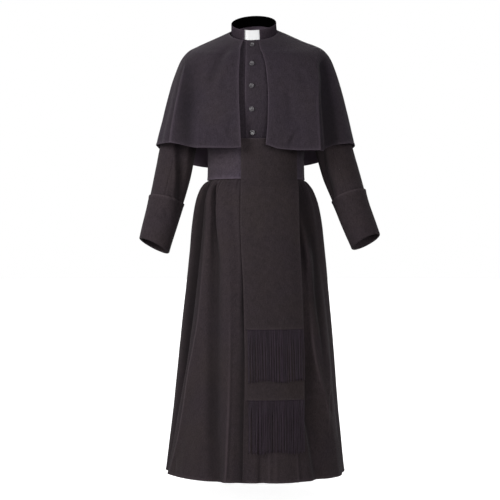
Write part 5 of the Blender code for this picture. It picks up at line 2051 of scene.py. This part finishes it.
@dataclass
class Sash(Garment):
    """The waist band and two hanging ends, each with its fringe."""

    join: float = math.radians(20)
    end_top: float = -0.339
    bottom_inset: float = 0.0045

    def build(self) -> None:
        """Makes the band, the ends, their stitches and their fringes."""
        form = RingForm(rings=SASH_BAND, creases=BAND_CREASES, unevenness=0.0007, seed=29.0)
        ends = constant(self.join), constant(self.join + ROUND)
        edges = (Edge.SEAM, Edge.SEAM, Edge.TURNED, Edge.TURNED)
        panel = Panel("cloth_sash_band", form, SASH_TOP, SASH_BOTTOM, *ends, edges)
        self.cloth(panel, BAND_CLOTH_PAINTED_LIGHT, "stretched", ["bodice_back"])
        for layer, name in enumerate(("lower", "upper"), start=1):
            self.build_end(layer, name, SASH_ENDS[name])

    def build_end(self, layer: int, name: str, bottom: float) -> None:
        """Makes one hanging end.

        Args:
            layer: 1 on the band, 2 on the other end.
            name: Which end it is.
            bottom: The height of its lower edge.
        """
        form = FallForm(layer=layer, unevenness=0.0006, seed=31.0 + layer)
        ends = constant(0.0), constant(SASH_WIDTH)
        edges = (Edge.TURNED,) * 4
        panel = Panel(f"cloth_sash_end_{name}", form, self.end_top, bottom, *ends, edges)
        fringe = Fringe(name, layer, bottom - GAP)
        self.cloth(panel, SASH_CLOTH, "hung", ["cloth_sash_band"], fringe=fringe)
        height = np.linspace(SASH_TOP - STITCH_END, bottom + STITCH_END, 400)
        sides = HEM_INSET, SASH_WIDTH - HEM_INSET
        lines = [StitchLine(form, side, height, TURN_RISE) for side in sides]
        across = np.linspace(*sides, 120)
        lines.append(StitchLine(form, across, bottom + self.bottom_inset, TURN_RISE))
        self.sew(f"stitches_sash_{name}", lines)


@dataclass
class Fringe:
    """Twisted cords side by side below a sash end, drawn together in uneven clumps.

    Attributes:
        name: Which end it hangs on.
        layer: 1 for the end on the band, 2 for the other.
        top: The height it hangs from.
        strands: How many cords it has.
        sides: How many sides a cord has.
        steps: How many stretches a cord is made of.
        radius: A cord's radius.
        clump: How wide the narrowest and widest clumps are.
        pull: How far the cords are drawn to their clump's middle, at least and at most.
        drift: How far clumps sway across.
        stray: How far single cords do.
        wave: How far single cords waver.
        ragged: How uneven their ends are.
        gather: How far down the cords reach their clump's middle, as a share of their length.
        lift: How far above the bed the nearer cords lie, and as much again the others.
        size: How thick the thinnest and thickest cords are, as a share of the radius.
    """

    name: str
    layer: int
    top: float
    strands: int = 118
    sides: int = 5
    steps: int = 26
    radius: float = 0.00066
    clump: tuple[float, float] = (0.0035, 0.0095)
    pull: tuple[float, float] = (0.30, 0.75)
    drift: float = 0.0010
    stray: float = 0.0006
    wave: float = 0.0004
    ragged: float = 0.009
    gather: float = 0.45
    lift: float = 0.0008
    size: tuple[float, float] = (0.8, 1.15)

    def tube(self) -> tuple[list[list[int]], Array]:
        """A cord's faces, and their corners' places round it and along it, each from 0 to 1."""
        i, j = np.divmod(np.arange(self.steps * self.sides), self.sides)
        i, j = i[:, None] + [0, 0, 1, 1], j[:, None] + [0, 1, 1, 0]
        ends = [list(range(self.sides))[::-1]]
        ends.append([self.steps * self.sides + corner for corner in range(self.sides)])
        faces = (i * self.sides + j % self.sides).tolist() + ends
        pattern = np.stack([j / self.sides, i / self.steps], axis=-1).reshape(-1, 2)
        return faces, np.concatenate([pattern, np.zeros((2 * self.sides, 2))])

    def build(self, material: bpy.types.Material) -> bpy.types.Object:
        """Makes the fringe in place of its solid.

        Args:
            material: What it is dressed in.

        Returns:
            The piece.
        """
        chance = np.random.default_rng(40 + self.layer)
        form = FallForm(layer=self.layer, lift=0.0)
        cuts = FRINGE_START + np.cumsum(chance.uniform(*self.clump, 60))
        cuts = np.concatenate([[FRINGE_START - 0.004], cuts])
        t = np.linspace(0, 1, self.steps + 1)
        turn = np.linspace(0, math.tau, self.sides, endpoint=False)[:, None]
        pulls = chance.uniform(*self.pull, len(cuts))
        drifts = chance.normal(0, self.drift, len(cuts))
        tube, pattern = self.tube()
        points, shades, faces, patterns = [], [], [], []
        for number, root in enumerate(np.linspace(FRINGE_START, FRINGE_END, self.strands)):
            group = int(np.searchsorted(cuts, root)) - 1
            centre = cuts[group : group + 2].mean()
            length = FRINGE_LENGTH - abs(chance.normal(0, self.ragged / 2))
            length -= self.ragged * (0.4 + 0.4 * math.sin(root * 60 + self.layer * 2))
            across = root + (centre - root) * pulls[group] * soft_step(0.0, self.gather, t)
            across += drifts[group] * t**1.5 + chance.normal(0, self.stray) * t
            across += chance.normal(0, self.wave) * np.sin(t * 9 + number)
            lift = self.lift * (1 + number % 2) + chance.uniform(0, self.lift / 2) * t
            height = self.top - t * length
            out = form.normals(across, height)
            middle = form.base(across, height) + out * lift[:, None]
            side = unit(np.cross(np.gradient(middle, axis=0), out))
            size = self.radius * chance.uniform(*self.size)
            ring = side[:, None] * np.cos(turn) + out[:, None] * np.sin(turn)
            points.append(middle[:, None] + ring * size)
            shades += [chance.uniform(-0.1, 1.0)] * (self.sides * len(t))
            shift = number * self.sides * len(t)
            faces += [[corner + shift for corner in face] for face in tube]
            patterns.append(pattern * (1.0, length))
        item = new_object(f"fringe_{self.name}", np.array(points), faces, np.concatenate(patterns))
        mark(item, "shade", shades)
        edit_faces(item, bpy.ops.mesh.normals_make_consistent, inside=False)
        dress(item, material)
        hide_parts(f"sash_fringe_{self.name}")
        log.info("%s: %d strands", item.name, self.strands)
        return item


@dataclass
class Buttons(Garment):
    """Five turned buttons with dished faces, down the left front's band."""

    radius: float = BUTTON_RADIUS
    thickness: float = BUTTON_THICKNESS
    sides: int = 48
    rounding: float = 0.09  # of the radius
    stand: float = 3 * GAP  # above the cloth
    insets: tuple[tuple[float, float], ...] = ((0.16, 0.0), (0.14, -0.10), (0.12, -0.30), (0.10, -0.08))

    def blank(self) -> bpy.types.Object:
        """Models one button, lying face up at the origin. Its face is inset again and again, by a
        share of the radius, and each time moved by a share of the thickness."""
        deselect()
        place = (0, 0, self.thickness / 2)
        size = {"radius": self.radius, "depth": self.thickness, "location": place}
        bpy.ops.mesh.primitive_cylinder_add(vertices=self.sides, **size)
        item = bpy.context.object
        bpy.ops.object.transform_apply(location=True, rotation=True, scale=True)
        bpy.ops.object.mode_set(mode="EDIT")
        bpy.ops.mesh.select_mode(type="FACE")
        for share, rise in self.insets:
            self.pick_face(item, up=True)
            bpy.ops.mesh.inset(thickness=self.radius * share)
            bpy.ops.transform.translate(value=(0, 0, self.thickness * rise))
        self.pick_face(item, up=False)
        bpy.ops.mesh.inset(thickness=self.radius * self.insets[0][0])
        bpy.ops.object.mode_set(mode="OBJECT")
        round_off(item, self.radius * self.rounding, 3, 25)
        return item

    def pick_face(self, item: bpy.types.Object, up: bool) -> None:
        """Selects the many-sided face that points up or down."""
        bpy.ops.mesh.select_all(action="DESELECT")
        bpy.ops.object.mode_set(mode="OBJECT")
        for face in item.data.polygons:
            face.select = len(face.vertices) == self.sides and (face.normal.z > 0) == up
        bpy.ops.object.mode_set(mode="EDIT")

    def build(self) -> None:
        """Makes the buttons and their holes' stitches."""
        form = RingForm(creases=BODICE_CREASES, unevenness=0.0007, seed=3.0)
        rings = np.linspace(BODICE.keys[0], BODICE.keys[-1], 500)
        chest = form.base(np.zeros(rings.shape), rings)[:, 2]
        blank = self.blank()
        lines = []
        for number, height in enumerate(np.interp(BUTTON_HEIGHTS, chest, rings), start=1):
            spot = np.array([0.0]), np.array([height])
            place, out = Vector(form.place(*spot)[0]), Vector(form.normals(*spot)[0])
            item = blank.copy()
            item.data = blank.data.copy()
            item.name = item.data.name = f"turned_button_{number}"
            bpy.context.scene.collection.objects.link(item)
            item.location = place + out * self.stand
            item.rotation_euler = out.to_track_quat("Z", "Y").to_euler()
            pick(item)
            bpy.ops.object.transform_apply(location=True, rotation=True, scale=True)
            dress(item, self.wardrobe.material(BUTTON_PLASTIC))
            bpy.ops.object.shade_smooth_by_angle(angle=math.radians(35))
            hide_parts(f"button_{number}")
            log.info("%s at %.3f m", item.name, place.z)
            lines += self.hole(form, height)
        bpy.data.objects.remove(blank, do_unlink=True)
        self.sew("stitches_buttonholes", lines)

    def hole(self, form: RingForm, height: float) -> list[StitchLine]:
        """The worked edges of one buttonhole, which runs on past the button."""
        bearing = np.linspace(*HOLE_ACROSS, 20) / CHEST_DEPTH
        stitch = {"lift": 0.0002, "pitch": 0.0008, "length": 0.0014, "width": 0.0011}
        return [StitchLine(form, bearing, height + side, **stitch) for side in (-0.0006, 0.0006)]


@dataclass(frozen=True)
class Lamp:
    """A broad soft light.

    Attributes:
        name: Its name.
        turn: Its bearing in degrees from straight ahead of the garment, towards +X.
        height: Its height above level, in degrees.
        power: Its strength, in watts for a panel.
        spread: How wide it looks, in degrees, or the side of a panel.
        distance: How far a panel stands from the garment. 0 is far away, with no fall-off.
    """

    name: str
    turn: float
    height: float
    power: float
    spread: float
    distance: float = 0.0

    def build(self) -> None:
        """Hangs the lamp, facing the garment."""
        turn, height = math.radians(self.turn), math.radians(self.height)
        level = math.cos(height)
        way = Vector((math.sin(turn) * level, -math.cos(turn) * level, math.sin(height)))
        place = CHEST + way * (self.distance or SUN_DISTANCE)
        bpy.ops.object.light_add(type="AREA" if self.distance else "SUN", location=place)
        lamp = bpy.context.object
        lamp.name = self.name
        lamp.rotation_euler = way.to_track_quat("Z", "Y").to_euler()
        lamp.data.energy = self.power
        if self.distance:
            lamp.data.size = self.spread
        else:
            lamp.data.angle = math.radians(self.spread)


@dataclass
class Studio:
    """The floor, the backdrop, the lamps and the camera.

    Attributes:
        floor_drop: How far below the hem the floor is.
        backdrop: The backdrop's radius.
        surround: How bright the surroundings are.
        floor_glow: How bright the floor is by itself.
        distance: How far off the camera is.
        turn: How far round towards the wearer's left it is.
        aim: How far it looks past the middle, to its right.
        eye: How high it is.
        lens: Its focal length in millimetres.
        sensor: How wide its sensor is, in millimetres.
        lamps: The lamps.
    """

    floor_drop: float = 0.060
    backdrop: float = 30.0
    surround: float = 0.19
    floor_glow: float = 0.88
    distance: float = 4.2
    turn: float = math.radians(5)
    aim: float = -0.01575
    eye: float = -0.680
    lens: float = 96.0
    sensor: float = 36.0
    lamps: tuple[Lamp, ...] = (
        Lamp("key", 20, 5, 1.34, 25),
        Lamp("panel", -45, 15, 17.0, 0.7, distance=1.84),
        Lamp("low", -38, -27, 4.2, 0.5, distance=1.70),
        Lamp("bounce", 0, -25, 1.05, 25),
        Lamp("right_rim", -140, 40, 0.70, 25),
        Lamp("left_rim", 140, 40, 0.28, 25),
        Lamp("back", 180, 15, 1.10, 25),
    )

    def build(self) -> None:
        """Sets everything up."""
        deselect()
        size, drop = self.backdrop * 2, (0, 0, HEM - self.floor_drop)
        bpy.ops.mesh.primitive_plane_add(size=size, location=drop)
        pale = {"Base_Color": PALE, "Roughness": 0.9}
        floor = self.stage("floor", Emission_Strength=self.floor_glow, **pale)
        deselect()
        bpy.ops.mesh.primitive_uv_sphere_add(segments=48, ring_count=24, radius=self.backdrop)
        black = {"Base_Color": BLACK, "Specular_IOR_Level": 0.0}
        self.stage("backdrop", Emission_Strength=1.0, **black).visible_shadow = False
        world = bpy.data.worlds.new("studio")
        world.use_nodes = True
        light = world.node_tree.nodes["Background"].inputs
        light["Color"].default_value = WHITE
        light["Strength"].default_value = self.surround
        bpy.context.scene.world = world
        bpy.context.scene.view_settings.view_transform = "Standard"
        for lamp in self.lamps:
            lamp.build()
        self.camera()

    def stage(self, name: str, **sockets: Any) -> bpy.types.Object:
        """Names the new object, paints it with a pale glow and makes it part of the stage."""
        item = bpy.context.object
        item.name = name
        item.data.materials.append(Graph(f"pale_{name}").finish(Emission_Color=WHITE, **sockets))
        item.visible_diffuse = item.visible_glossy = False
        return item

    def camera(self) -> None:
        """Adds the camera, level, a little to the wearer's left of straight ahead."""
        right = Vector((math.cos(self.turn), math.sin(self.turn), 0))
        ahead = Vector((-math.sin(self.turn), math.cos(self.turn), 0))
        data = bpy.data.cameras.new("camera")
        data.lens, data.sensor_width = self.lens, self.sensor
        eye = bpy.data.objects.new("camera", data)
        eye.location = -self.distance * ahead + self.aim * right + Vector((0, 0, self.eye))
        eye.rotation_euler = (math.radians(90), 0, self.turn)
        bpy.context.scene.collection.objects.link(eye)
        bpy.context.scene.camera = eye


def main() -> None:
    """Builds the studio, then the garment from its sub-assemblies."""
    logging.basicConfig(level=logging.INFO, format="%(name)s: %(message)s")
    wardrobe = Wardrobe()
    Studio().build()
    for assembly in (Bodice, Skirt, ShoulderCape, Sleeves, Collar, Sash, Buttons):
        assembly(wardrobe).build()
        log.info("%s done", assembly.__name__)


if __name__ == "__main__":
    main()
